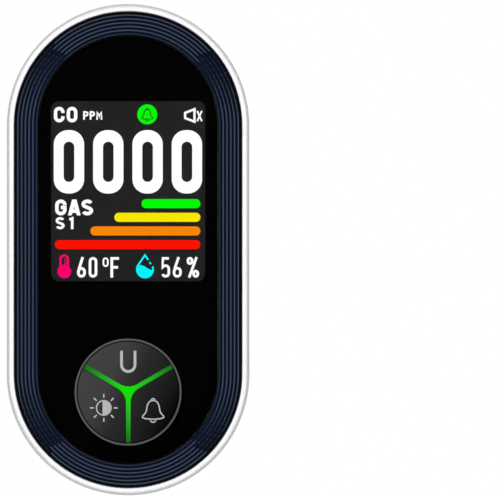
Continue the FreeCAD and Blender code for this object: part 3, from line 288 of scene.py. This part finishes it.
def glowing_guide():
    """The light guide: bright where the lamp is, dimmer and paler green along its arms."""
    made = Nodes("glowing_guide", Base_Color=grey(0.0), Roughness=0.4, Specular_IOR_Level=0.05)
    away = made.add("VectorMath", operation="DISTANCE")
    flat = made.add("Mapping", Vector=made.place, Scale=(1, 0, 1))
    made.connect(flat.outputs[0], away.inputs[0])
    made.connect((KEYPAD_X, 0, KEYPAD_Z), away.inputs[1])
    reach = made.between(away.outputs["Value"], 0.0, KEYPAD_RADIUS)
    made.set("Emission Color", made.ramp(
        reach, (0.10, (0.006, 0.70, 0.0)), (0.40, (0.022, 0.44, 0.020)), (0.97, (0.010, 0.12, 0.008))
    ))
    made.set("Emission Strength", made.spread(made.noise(3000, 2), 0.95, 1.05))
    return made.material


def metal(name, colour, rough, stretch=(1, 1, 1), scale=2500, relief=0.12):
    """Rolled or plated metal: a drawn grain along one axis and slight tarnish in the gloss."""
    made = Nodes(name, Metallic=1.0)
    grain = made.noise(scale, 4, stretch)
    cloud = made.noise(160, 3)
    made.set("Base Color", made.ramp(cloud, (0.3, shade(colour, 0.88)), (0.7, colour)))
    made.set("Roughness", made.spread(grain, rough - 0.08, rough + 0.08))
    made.bump(grain, relief, 0.02 * MM)
    return made.material


def circuit_board():
    """Green solder mask over copper tracks."""
    made = Nodes("circuit_board", Coat_Weight=0.4, Coat_Roughness=0.12)
    tracks = made.add("TexVoronoi", Vector=made.place, Scale=420.0, distance="MANHATTAN", feature="F2")
    copper = made.between(tracks.outputs["Distance"], 0.60, 0.68)
    made.set("Base Color", made.ramp(copper, (0.2, (0.004, 0.060, 0.018)), (0.8, (0.012, 0.130, 0.040))))
    made.set("Roughness", made.spread(made.noise(700, 3), 0.28, 0.40))
    made.bump(copper, 0.3, 0.03 * MM)
    return made.material


def wound_tape():
    """Yellow polyester tape with the wire's turns showing through it."""
    made = Nodes("wound_tape", Coat_Weight=0.3)
    turns = made.add("TexWave", Vector=made.place, Scale=420.0, bands_direction="Y").outputs["Fac"]
    made.set("Base Color", made.ramp(turns, (0.2, (0.60, 0.36, 0.01)), (0.8, (0.85, 0.58, 0.03))))
    made.set("Roughness", made.spread(made.noise(500, 3), 0.3, 0.45))
    made.bump(turns, 0.4, 0.05 * MM)
    return made.material


def woven_mesh():
    """Fine steel gauze."""
    made = Nodes("woven_mesh", Metallic=1.0)
    warp = made.add("TexWave", Vector=made.place, Scale=900.0, bands_direction="X").outputs["Fac"]
    weft = made.add("TexWave", Vector=made.place, Scale=900.0, bands_direction="Z").outputs["Fac"]
    weave = made.math("MAXIMUM", warp, weft)
    made.set("Base Color", made.ramp(weave, (0.3, grey(0.05)), (0.8, grey(0.55))))
    made.set("Roughness", made.spread(made.noise(900, 3), 0.3, 0.45))
    made.bump(weave, 0.8, 0.08 * MM)
    return made.material


def vent_shade_gauze():
    """Black polyester insect gauze behind the vents; its black also stands in for the shade inside the
    vent slots.
    """
    made = Nodes("vent_shade_gauze", Specular_IOR_Level=0.1)
    threads = [
        made.add("TexWave", Vector=made.place, Scale=700.0, bands_direction=way).outputs["Fac"]
        for way in ("Z", "Y")
    ]
    weave = made.math("MAXIMUM", *threads)
    made.set("Base Color", made.ramp(weave, (0.4, grey(0.0005)), (0.9, grey(0.006))))
    made.set("Roughness", made.spread(made.noise(900, 3), 0.7, 0.85))
    made.bump(weave, 0.6, 0.05 * MM)
    return made.material


WHITE = (0.845, 0.850, 0.862)
shell_white = moulded("shell_white", WHITE, 0.36, IOR=1.5, Coat_Weight=0.35, Coat_Roughness=0.25)
finishes = {
    shell_white: ["rear_housing", "plug_base", "plug_latch"],
    rim_plastic_painted_shade(WHITE, 0.36): ["front_frame"],
    bezel_paint_painted_highlights(): ["bezel_ring"],
    acrylic(): ["front_lens"],
    mask_ink(): ["lens_mask"],
    dark_display(): ["display_panel"],
    key_cap_painted_shading(): ["unit_key", "brightness_key", "mute_key"],
    moulded("ring_grey", grey(0.085), 0.4, Metallic=0.3): ["key_ring"],
    glowing_guide(): ["light_guide"],
    moulded("foam", grey(0.02), 0.9, 4000, 0.6): ["display_gasket"],
    moulded("diffuser", (0.8, 0.8, 0.77), 0.6): ["display_backlight", "key_light"],
    moulded("white_nylon", (0.72, 0.71, 0.66), 0.5): [
        "display_connector", "unit_plunger", "brightness_plunger", "mute_plunger", "co_sensor",
    ],
    moulded("black_nylon", grey(0.015), 0.5, 6000, 0.3): [
        "processor", "buzzer", "board_link", "key_switches", "gas_sensor_base", "bridge_rectifier",
    ],
    moulded("polyimide", (0.42, 0.17, 0.02), 0.35): ["display_flex"],
    moulded("chip_resin", (0.30, 0.29, 0.25), 0.5): ["climate_sensor"],
    moulded("ferrite", (0.035, 0.035, 0.04), 0.55, 5000, 0.5): ["transformer_core"],
    moulded("sleeve", (0.02, 0.03, 0.09), 0.35): ["filter_capacitors"],
    moulded("ceramic", (0.42, 0.26, 0.11), 0.45): ["mains_fuse"],
    moulded("insert_nylon", (0.45, 0.45, 0.46), 0.5): ["plug_insert"],
    moulded("label_film", (0.66, 0.67, 0.69), 0.3, Metallic=0.4): ["rating_label"],
    circuit_board(): ["main_board", "power_board", "slip_board"],
    wound_tape(): ["transformer_winding"],
    woven_mesh(): ["gas_sensor_mesh"],
    # the vent gauze is black partly as a stand-in for the shade inside the vent slots
    vent_shade_gauze(): ["vent_screen"],
    metal("nickel", (0.60, 0.60, 0.61), 0.30, (1, 0.04, 1)): ["plug_blades"],
    metal("brass", (0.72, 0.52, 0.22), 0.30): ["slip_rings", "contact_arms", "supply_pins"],
    metal("zinc", (0.55, 0.56, 0.58), 0.35): [
        "case_screws", "board_screws", "power_screws", "insert_screws", "display_tray", "gas_sensor_cap",
    ],
    metal("spring_steel", (0.42, 0.42, 0.43), 0.32): ["retaining_clip", "latch_spring"],
}
for material, names in finishes.items():
    for name in names:
        mesh = nodes[name].data
        mesh.materials.clear()
        mesh.materials.append(material)


# ---------------------------------------------------------------- flat signs, drawn in millimetres
def arc(x, z, radius, begin, end, tall=None):
    """Points along an arc, from one angle to another in degrees; tall makes it an ellipse."""
    tall = radius if tall is None else tall
    steps = max(2, math.ceil(abs(math.radians(end - begin)) / ARC_STEP))
    angles = [math.radians(begin + (end - begin) * step / steps) for step in range(steps + 1)]
    return [(x + radius * math.cos(angle), z + tall * math.sin(angle)) for angle in angles]


def rounded(x, z, wide, tall, corner):
    """Points round a rectangle with rounded corners, anticlockwise from its lower right."""
    out = []
    for turn, (side_x, side_z) in enumerate([(1, -1), (1, 1), (-1, 1), (-1, -1)]):
        begin = -90 + 90 * turn
        middle_x = x + side_x * (wide / 2 - corner)
        middle_z = z + side_z * (tall / 2 - corner)
        out += arc(middle_x, middle_z, corner, begin, begin + 90)
    return out


def cubic(begin, first, second, end, steps=8):
    """Points along a cubic curve from begin to end."""
    points = []
    for step in range(steps + 1):
        t = step / steps
        weights = ((1 - t) ** 3, 3 * t * (1 - t) ** 2, 3 * t * t * (1 - t), t ** 3)
        controls = (begin, first, second, end)
        x = sum(weight * control[0] for weight, control in zip(weights, controls))
        z = sum(weight * control[1] for weight, control in zip(weights, controls))
        points.append((x, z))
    return points


def tidy(points, closed):
    """Drops points that repeat the one before."""
    kept = []
    for point in points:
        if not kept or math.dist(point, kept[-1]) > 1e-4:
            kept.append(point)
    if closed and math.dist(kept[0], kept[-1]) < 1e-4:
        kept.pop()
    return kept


def edges_of(points, width, closed):
    """The two lines half a width to the left and right of a line, mitred at its corners."""
    count = len(points)
    left, right = [], []
    for number, (x, z) in enumerate(points):
        before = points[number - 1] if number or closed else None
        after = points[(number + 1) % count] if number < count - 1 or closed else None
        normals = []
        for a, b in ((before, (x, z)), ((x, z), after)):
            if a is not None and b is not None:
                length = math.dist(a, b)
                normals.append((-(b[1] - a[1]) / length, (b[0] - a[0]) / length))
        nx = sum(n[0] for n in normals) / len(normals)
        nz = sum(n[1] for n in normals) / len(normals)
        size = nx * nx + nz * nz
        reach = width / 2 / max(size, 0.2)
        left.append((x + nx * reach, z + nz * reach))
        right.append((x - nx * reach, z - nz * reach))
    return left, right


class Sign:
    """One flat piece, built of strips and plates a hair thick, in millimetres on a plane."""

    def __init__(self, name, origin_x, origin_z, face, thick=SIGN_THICK):
        self.name = name
        self.origin = (origin_x, origin_z)
        self.back = face
        self.front = face - thick
        self.mesh = bmesh.new()

    def point(self, x, z, depth):
        return self.mesh.verts.new((self.origin[0] + x * MM, depth, self.origin[1] + z * MM))

    def strip(self, left, right, closed):
        """A band between two lines of as many points."""
        rows = [
            [self.point(*a, self.front), self.point(*b, self.front),
             self.point(*b, self.back), self.point(*a, self.back)]
            for a, b in zip(left, right)
        ]
        pairs = list(zip(rows, rows[1:]))
        if closed:
            pairs.append((rows[-1], rows[0]))
        else:
            self.mesh.faces.new(rows[0])
            self.mesh.faces.new(rows[-1][::-1])
        for near, far in pairs:
            for side in range(4):
                after = (side + 1) % 4
                self.mesh.faces.new((near[side], far[side], far[after], near[after]))

    def stroke(self, points, width, closed=False):
        points = tidy(points, closed)
        self.strip(*edges_of(points, width, closed), closed)

    def ring(self, outer, inner):
        self.strip(outer, inner, True)

    def plate(self, points):
        points = tidy(points, True)
        front = [self.point(*p, self.front) for p in points]
        back = [self.point(*p, self.back) for p in points]
        self.mesh.faces.new(front)
        self.mesh.faces.new(back[::-1])
        for number in range(len(points)):
            after = (number + 1) % len(points)
            self.mesh.faces.new((front[number], back[number], back[after], front[after]))

    def finish(self, material, body="housing"):
        bmesh.ops.recalc_face_normals(self.mesh, faces=self.mesh.faces)
        data = bpy.data.meshes.new(self.name)
        self.mesh.to_mesh(data)
        self.mesh.free()
        data.materials.append(material)
        made = bpy.data.objects.new(self.name, data)
        bpy.context.scene.collection.objects.link(made)
        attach(made, body)
        return made


def letter(sign, sort, x, z, wide, tall, width):
    """One letter or figure in a box whose lower left corner is x, z, with strokes of a width."""
    low, high = z + width / 2, z + tall - width / 2
    left, right = x + width / 2, x + wide - width / 2
    middle_x, middle_z = x + wide / 2, z + tall / 2
    round_x = (right - left) / 2
    upper, lower = high - round_x, low + round_x

    def draw(points, closed=False):
        sign.stroke(points, width, closed)

    top = lambda begin, end: arc(middle_x, upper, round_x, begin, end)
    bottom = lambda begin, end: arc(middle_x, lower, round_x, begin, end)
    if sort in "O0":
        draw(top(0, 180) + bottom(180, 360), True)
    elif sort == "C":
        lip = 0.05 * tall
        draw([(right, upper - lip)] + top(0, 180) + bottom(180, 360) + [(right, lower + lip)])
    elif sort == "G":
        draw([(right, upper)] + top(0, 180) + bottom(180, 360) + [(right, middle_z), (middle_x, middle_z)])
    elif sort == "U":
        draw([(left, high + width / 2)] + bottom(180, 360) + [(right, high + width / 2)])
    elif sort == "S":
        bowl = (high - low) / 4
        start = arc(middle_x, high - bowl, round_x, 25, 180, bowl)
        turn = arc(middle_x, low + bowl, round_x, 0, -155, bowl)
        waist = cubic(start[-1], (left, middle_z), (right, middle_z), turn[0])
        draw(start + waist[1:-1] + turn)
    elif sort == "A":
        foot, crown, waist = width * 1.08, width * 0.62, z + 0.27 * tall
        for side in (-1, 1):
            outer, inner = middle_x + side * wide / 2, middle_x + side * (wide / 2 - foot)
            peak = [(middle_x - side * crown, z + tall), (middle_x + side * crown, z + tall)]
            sign.plate([(outer, z), (inner, z)] + peak)
        draw([(x + 0.24 * wide, waist), (x + 0.76 * wide, waist)])
    elif sort == "P":
        bowl = (high - middle_z) / 2 + 0.02 * tall
        draw([(left, z), (left, high), (right - bowl, high)]
             + arc(right - bowl, high - bowl, bowl, 90, -90) + [(left, high - 2 * bowl)])
    elif sort == "M":
        draw([(left, z), (left, high), (middle_x, middle_z - 0.1 * tall), (right, high), (right, z)])
    elif sort == "F":
        draw([(left, z), (left, high), (x + wide, high)])
        draw([(left, middle_z), (x + 0.88 * wide, middle_z)])
    elif sort == "X":
        draw([(x + width / 2, z), (x + wide - width / 2, z + tall)])
        draw([(x + width / 2, z + tall), (x + wide - width / 2, z)])
    elif sort == "1":
        draw([(x, high - 0.28 * wide), (right, high), (right, z)])
    elif sort == "5":
        shelf = middle_z + 0.08 * tall
        stem = [(right, high), (left + 0.06 * wide, high), (left, middle_z - 0.02 * tall)]
        bowl = arc(middle_x, shelf - round_x, round_x, 80, 0) + bottom(0, -160)
        draw(stem + [(left + 0.6 * round_x, shelf)] + bowl)
    elif sort == "6":
        crown = low + 2 * round_x + 0.08 * tall
        draw(arc(middle_x, crown - round_x, round_x, 0, 180) + bottom(180, 360), True)
        draw([(left + 0.03 * wide, crown - round_x), (left + 0.12 * wide, crown + 0.05 * tall),
              (right - 0.2 * wide, z + tall)])
    elif sort == "%":
        loop = wide * 0.17
        upper_left = (x + loop + width / 2, high - loop * 1.2)
        lower_right = (x + wide - loop - width / 2, low + loop * 1.2)
        for loop_x, loop_z in (upper_left, lower_right):
            draw(arc(loop_x, loop_z, loop, 0, 360, loop * 1.25)[:-1], True)
        draw([(x + 0.2 * wide, z), (x + 0.8 * wide, z + tall)])


def bell(sign, x, top, wide, tall, width):
    """A bell's outline with a loop on top and a clapper below; top is its highest point."""
    foot = top - 0.80 * tall
    half = wide / 2

    def side(mirror):
        dome = cubic((0, top - 0.10 * tall), (0.42 * half, top - 0.10 * tall),
                     (0.56 * half, top - 0.26 * tall), (0.60 * half, top - 0.46 * tall))
        skirt = cubic(dome[-1], (0.64 * half, foot + 0.16 * tall), (0.98 * half, foot + 0.10 * tall),
                      (half, foot + 0.03 * tall))
        hem = cubic(skirt[-1], (half, foot - 0.03 * tall), (0.5 * half, foot - 0.06 * tall),
                    (0, foot - 0.06 * tall))
        return [(x + mirror * px, pz) for px, pz in dome + skirt[1:] + hem[1:]]

    right, left = side(1), side(-1)
    sign.stroke(right + left[::-1], width, True)
    sign.stroke(arc(x, top - 0.10 * tall, 0.09 * wide, 0, 180), width)
    sign.stroke(arc(x, foot - 0.07 * tall, 0.13 * wide, 200, 340), width)


# ---------------------------------------------------------------- the display's picture
WHITE_LIT = lit("lit_white", (1.0, 1.0, 1.0), 1.15)
GREEN_LIT = lit("lit_green", (0.001, 1.0, 0.001))
YELLOW_LIT = lit("lit_yellow", (0.98, 0.84, 0.0))
ORANGE_LIT = lit("lit_orange", (1.0, 0.25, 0.002))
RED_LIT = lit("lit_red", (1.0, 0.006, 0.0))
PINK_LIT = lit("lit_pink", (1.0, 0.0, 0.15))
CYAN_LIT = lit("lit_cyan", (0.0, 0.95, 1.0))
SIGN_BLACK = moulded("sign_black", grey(0.002), 0.6)


def on_display(name, thick=SIGN_THICK, lift=0.0):
    """A sign on the display, whose coordinates run right from its left edge and up from its top."""
    return Sign(name, DISPLAY_LEFT, DISPLAY_TOP, DISPLAY_FACE - lift, thick)


def word(name, letters, z, tall, width):
    """Letters given as (letter, left edge, width), standing at a height."""
    sign = on_display(name)
    for sort, x, wide in letters:
        letter(sign, sort, x, z, wide, tall, width)
    return sign.finish(WHITE_LIT)


def reading():
    """Four tall noughts."""
    sign = on_display("gas_reading")
    first, pitch, wide, tall, base = 0.65, 9.61, 7.42, 15.50, -22.56
    slot_wide, slot_tall, corner = 2.59, 9.81, 3.45
    for digit in range(4):
        x = first + digit * pitch + wide / 2
        z = base + tall / 2
        outer = rounded(x, z, wide, tall, corner)
        inner = rounded(x, z, slot_wide, slot_tall, slot_wide / 2 - 0.001)
        sign.ring(outer, inner)
    sign.finish(WHITE_LIT)


def level_bars():
    """Four bars with round ends, each longer than the one above."""
    right, top, pitch, tall = 36.50, -23.93, 3.335, 2.22
    for number, (name, left, material) in enumerate([
        ("green", 22.1, GREEN_LIT),
        ("yellow", 15.45, YELLOW_LIT),
        ("orange", 9.6, ORANGE_LIT),
        ("red", 0.93, RED_LIT),
    ]):
        sign = on_display(f"level_bar_{name}")
        z = top - number * pitch - tall / 2
        sign.plate(rounded((left + right) / 2, z, right - left, tall, tall / 2 - 0.001))
        sign.finish(material)


def status_signs():
    """The green bell disc and the muted speaker."""
    disc_x, disc_z, disc_radius = 23.5, -3.22, 2.44
    disc = on_display("status_disc")
    disc.plate(arc(disc_x, disc_z, disc_radius, 0, 360)[:-1])
    disc.finish(GREEN_LIT)
    mark = on_display("status_bell", SIGN_THICK, SIGN_THICK)
    bell(mark, disc_x, -1.70, 2.75, 3.15, 0.27)
    mark.finish(SIGN_BLACK)
    speaker = on_display("mute_sign")
    speaker.stroke([(32.75, -4.10), (32.75, -2.85), (35.05, -1.95), (35.05, -5.0)], 0.55, True)
    letter(speaker, "X", 35.50, -4.90, 1.55, 2.55, 0.40)
    speaker.finish(WHITE_LIT)


def climate_signs():
    """The thermometer and the drop, half full."""
    gauge = on_display("thermometer")
    stem_x, bulb_z, bulb, stem = 3.22, -41.60, 1.66, 0.92
    gauge.plate(arc(stem_x, bulb_z, bulb, 0, 360)[:-1])
    top = -38.62
    gauge.stroke([(stem_x + stem, bulb_z + 1.2)] + arc(stem_x, top, stem, 0, 180)
                 + [(stem_x - stem, bulb_z + 1.2)], 0.52)
    for tick in range(3):
        z = top - 0.05 - 0.55 * tick
        gauge.stroke([(stem_x - 0.05, z), (stem_x + stem, z)], 0.24)
    gauge.finish(PINK_LIT)
    drop = on_display("humidity_drop")
    x, z, radius, tip = 22.95, -41.12, 1.98, -37.62
    shoulder = 30
    flank = arc(x, z, radius, 270, 180 - shoulder)
    drop.stroke(flank + [(x, tip), (x + 0.78, tip - 1.15)], 0.42)
    drop.stroke([(x + 1.12, tip - 1.72), (x + 1.42, tip - 2.22)], 0.40)
    drop.stroke(arc(x, z, radius, -90, 22), 0.42)
    wave = cubic((x + 1.98, z - 0.05), (x + 0.8, z - 0.55), (x - 0.3, z + 1.75), (x - 1.80, z + 0.85))
    drop.plate(arc(x, z, radius + 0.05, 155, 358) + wave)
    drop.finish(CYAN_LIT)


word("gas_name", [("C", 0.68, 2.60), ("O", 3.80, 2.62)], -5.17, 3.80, 0.82)
word("gas_unit", [("P", 7.83, 1.32), ("P", 9.42, 1.32), ("M", 11.02, 1.50)], -4.50, 2.08, 0.44)
word("alarm_name", [("G", 0.98, 2.80), ("A", 4.10, 3.12), ("S", 7.42, 2.85)], -27.90, 3.88, 0.86)
word("alarm_state", [("S", 1.10, 2.20), ("1", 4.45, 1.02)], -31.28, 2.95, 0.62)
word("temperature", [("6", 6.34, 2.15), ("0", 9.18, 2.12), ("F", 14.50, 2.10)], -43.10, 5.00, 0.66)
word("degree_sign", [("O", 12.58, 1.48)], -40.50, 2.30, 0.42)
word("humidity", [("5", 26.90, 2.18), ("6", 29.75, 2.18), ("%", 33.12, 3.05)], -43.10, 5.00, 0.62)
reading()
level_bars()
status_signs()
climate_signs()


# ---------------------------------------------------------------- signs printed on the keys
KEY_INK = moulded("key_ink", grey(0.40), 0.5)


def on_key(name):
    return Sign(name, KEYPAD_X, KEYPAD_Z, KEY_FACE, KEY_SIGN_THICK)


def key_signs():
    unit = on_key("unit_sign")
    letter(unit, "U", -1.92, 4.70, 3.95, 5.40, 0.66)
    unit.finish(KEY_INK, "unit_button")
    sun = on_key("brightness_sign")
    x, z, radius = -5.92, -3.85, 1.78
    sun.stroke(arc(x, z, radius, 0, 360)[:-1], 0.30, True)
    sun.plate(arc(x, z, radius - 0.1, -100, 100))
    for ray in range(8):
        angle = math.radians(45 * ray)
        along = (math.cos(angle), math.sin(angle))
        sun.stroke([(x + reach * along[0], z + reach * along[1]) for reach in (2.45, 3.40)], 0.34)
    sun.finish(KEY_INK, "brightness_button")
    mute = on_key("mute_bell")
    bell(mute, 6.12, -1.45, 5.25, 6.0, 0.31)
    mute.finish(KEY_INK, "mute_button")


key_signs()


# ---------------------------------------------------------------- stage, light and camera
def plain_floor():
    """A pale round floor well below the detector, which hangs as it would on a wall."""
    drop, radius, sides = 0.16, 0.9, 96
    mesh = bpy.data.meshes.new("floor")
    turns = [math.tau * side / sides for side in range(sides)]
    ring = [(math.cos(turn) * radius, math.sin(turn) * radius, 0) for turn in turns]
    mesh.from_pydata(ring, [], [list(range(sides))])
    floor = bpy.data.objects.new("floor", mesh)
    floor.location = (0, 0, cad_box[0].z - drop)
    bpy.context.scene.collection.objects.link(floor)
    paint = Nodes("floor_paint", Roughness=0.8)
    paint.set("Base Color", paint.ramp(paint.noise(8, 2), (0.3, grey(0.86)), (0.7, grey(0.88))))
    mesh.materials.append(paint.material)


def soft_box(name, place, size, power):
    """A rectangular area light that faces the middle of the detector's front."""
    aim = (0, FRONT, CENTRE_Z)
    data = bpy.data.lights.new(name, "AREA")
    data.shape = "RECTANGLE"
    data.size, data.size_y = size
    data.energy = power
    light = bpy.data.objects.new(name, data)
    light.location = place
    light.rotation_euler = (Vector(aim) - Vector(place)).to_track_quat("-Z", "Y").to_euler()
    bpy.context.scene.collection.objects.link(light)


def studio():
    """A white room seen as white, darker where the window would mirror the camera."""
    world = bpy.data.worlds.new("studio")
    world.use_nodes = True
    bpy.context.scene.world = world
    tree = world.node_tree
    tree.nodes.clear()
    link = tree.links.new
    output = tree.nodes.new("ShaderNodeOutputWorld")
    choose = tree.nodes.new("ShaderNodeMixShader")
    seen = tree.nodes.new("ShaderNodeBackground")
    around = tree.nodes.new("ShaderNodeBackground")
    rays = tree.nodes.new("ShaderNodeLightPath")
    direction = tree.nodes.new("ShaderNodeTexCoord")
    parts = tree.nodes.new("ShaderNodeSeparateXYZ")
    glow = tree.nodes.new("ShaderNodeValToRGB")
    seen.inputs["Color"].default_value = (1, 1, 1, 1)
    seen.inputs["Strength"].default_value = 1.0
    half = tree.nodes.new("ShaderNodeMapRange")
    half.inputs["From Min"].default_value = -1.0
    link(direction.outputs["Generated"], parts.inputs[0])
    link(parts.outputs["Y"], half.inputs["Value"])
    link(half.outputs[0], glow.inputs[0])
    stops = ((0.03, 0.0), (0.22, 0.50), (0.72, 0.50), (0.92, 0.10))
    while len(glow.color_ramp.elements) < len(stops):
        glow.color_ramp.elements.new(0.5)
    for element, (along, level) in zip(glow.color_ramp.elements, stops):
        element.position = along
        element.color = (*grey(level), 1)
    link(glow.outputs[0], around.inputs["Color"])
    link(rays.outputs["Is Camera Ray"], choose.inputs[0])
    link(around.outputs[0], choose.inputs[1])
    link(seen.outputs[0], choose.inputs[2])
    link(choose.outputs[0], output.inputs[0])


# name: place in metres, size in metres, power in watts
SOFT_BOXES = {
    "left_box": ((-0.60, -0.78, 0.10), (0.5, 0.9), 4.6),
    "right_box": ((0.60, -0.78, 0.10), (0.5, 0.9), 4.0),
    "top_box": ((0.0, -0.45, 0.85), (0.9, 0.5), 3.4),
    "rear_left_box": ((-0.45, 0.95, 0.30), (0.5, 0.8), 2.4),
    "rear_right_box": ((0.45, 0.95, 0.30), (0.5, 0.8), 3.2),
}


def camera():
    """Straight at the front, from the height of the detector's middle, through a long lens."""
    sight = bpy.data.cameras.new("camera")
    sight.lens = 300
    sight.sensor_width = 36
    picture_width = 122.0 * MM
    aside, above = 29.77 * MM, 0.42 * MM
    distance = picture_width * sight.lens / sight.sensor_width
    eye = bpy.data.objects.new("camera", sight)
    eye.location = (CENTRE_X + aside, FRONT - distance, CENTRE_Z + above)
    eye.rotation_euler = (math.pi / 2, 0, 0)
    sight.clip_end = 20
    bpy.context.scene.collection.objects.link(eye)
    bpy.context.scene.camera = eye


plain_floor()
studio()
for name, (place, size, power) in SOFT_BOXES.items():
    soft_box(name, place, size, power)
camera()
bpy.context.scene.view_settings.view_transform = "Standard"
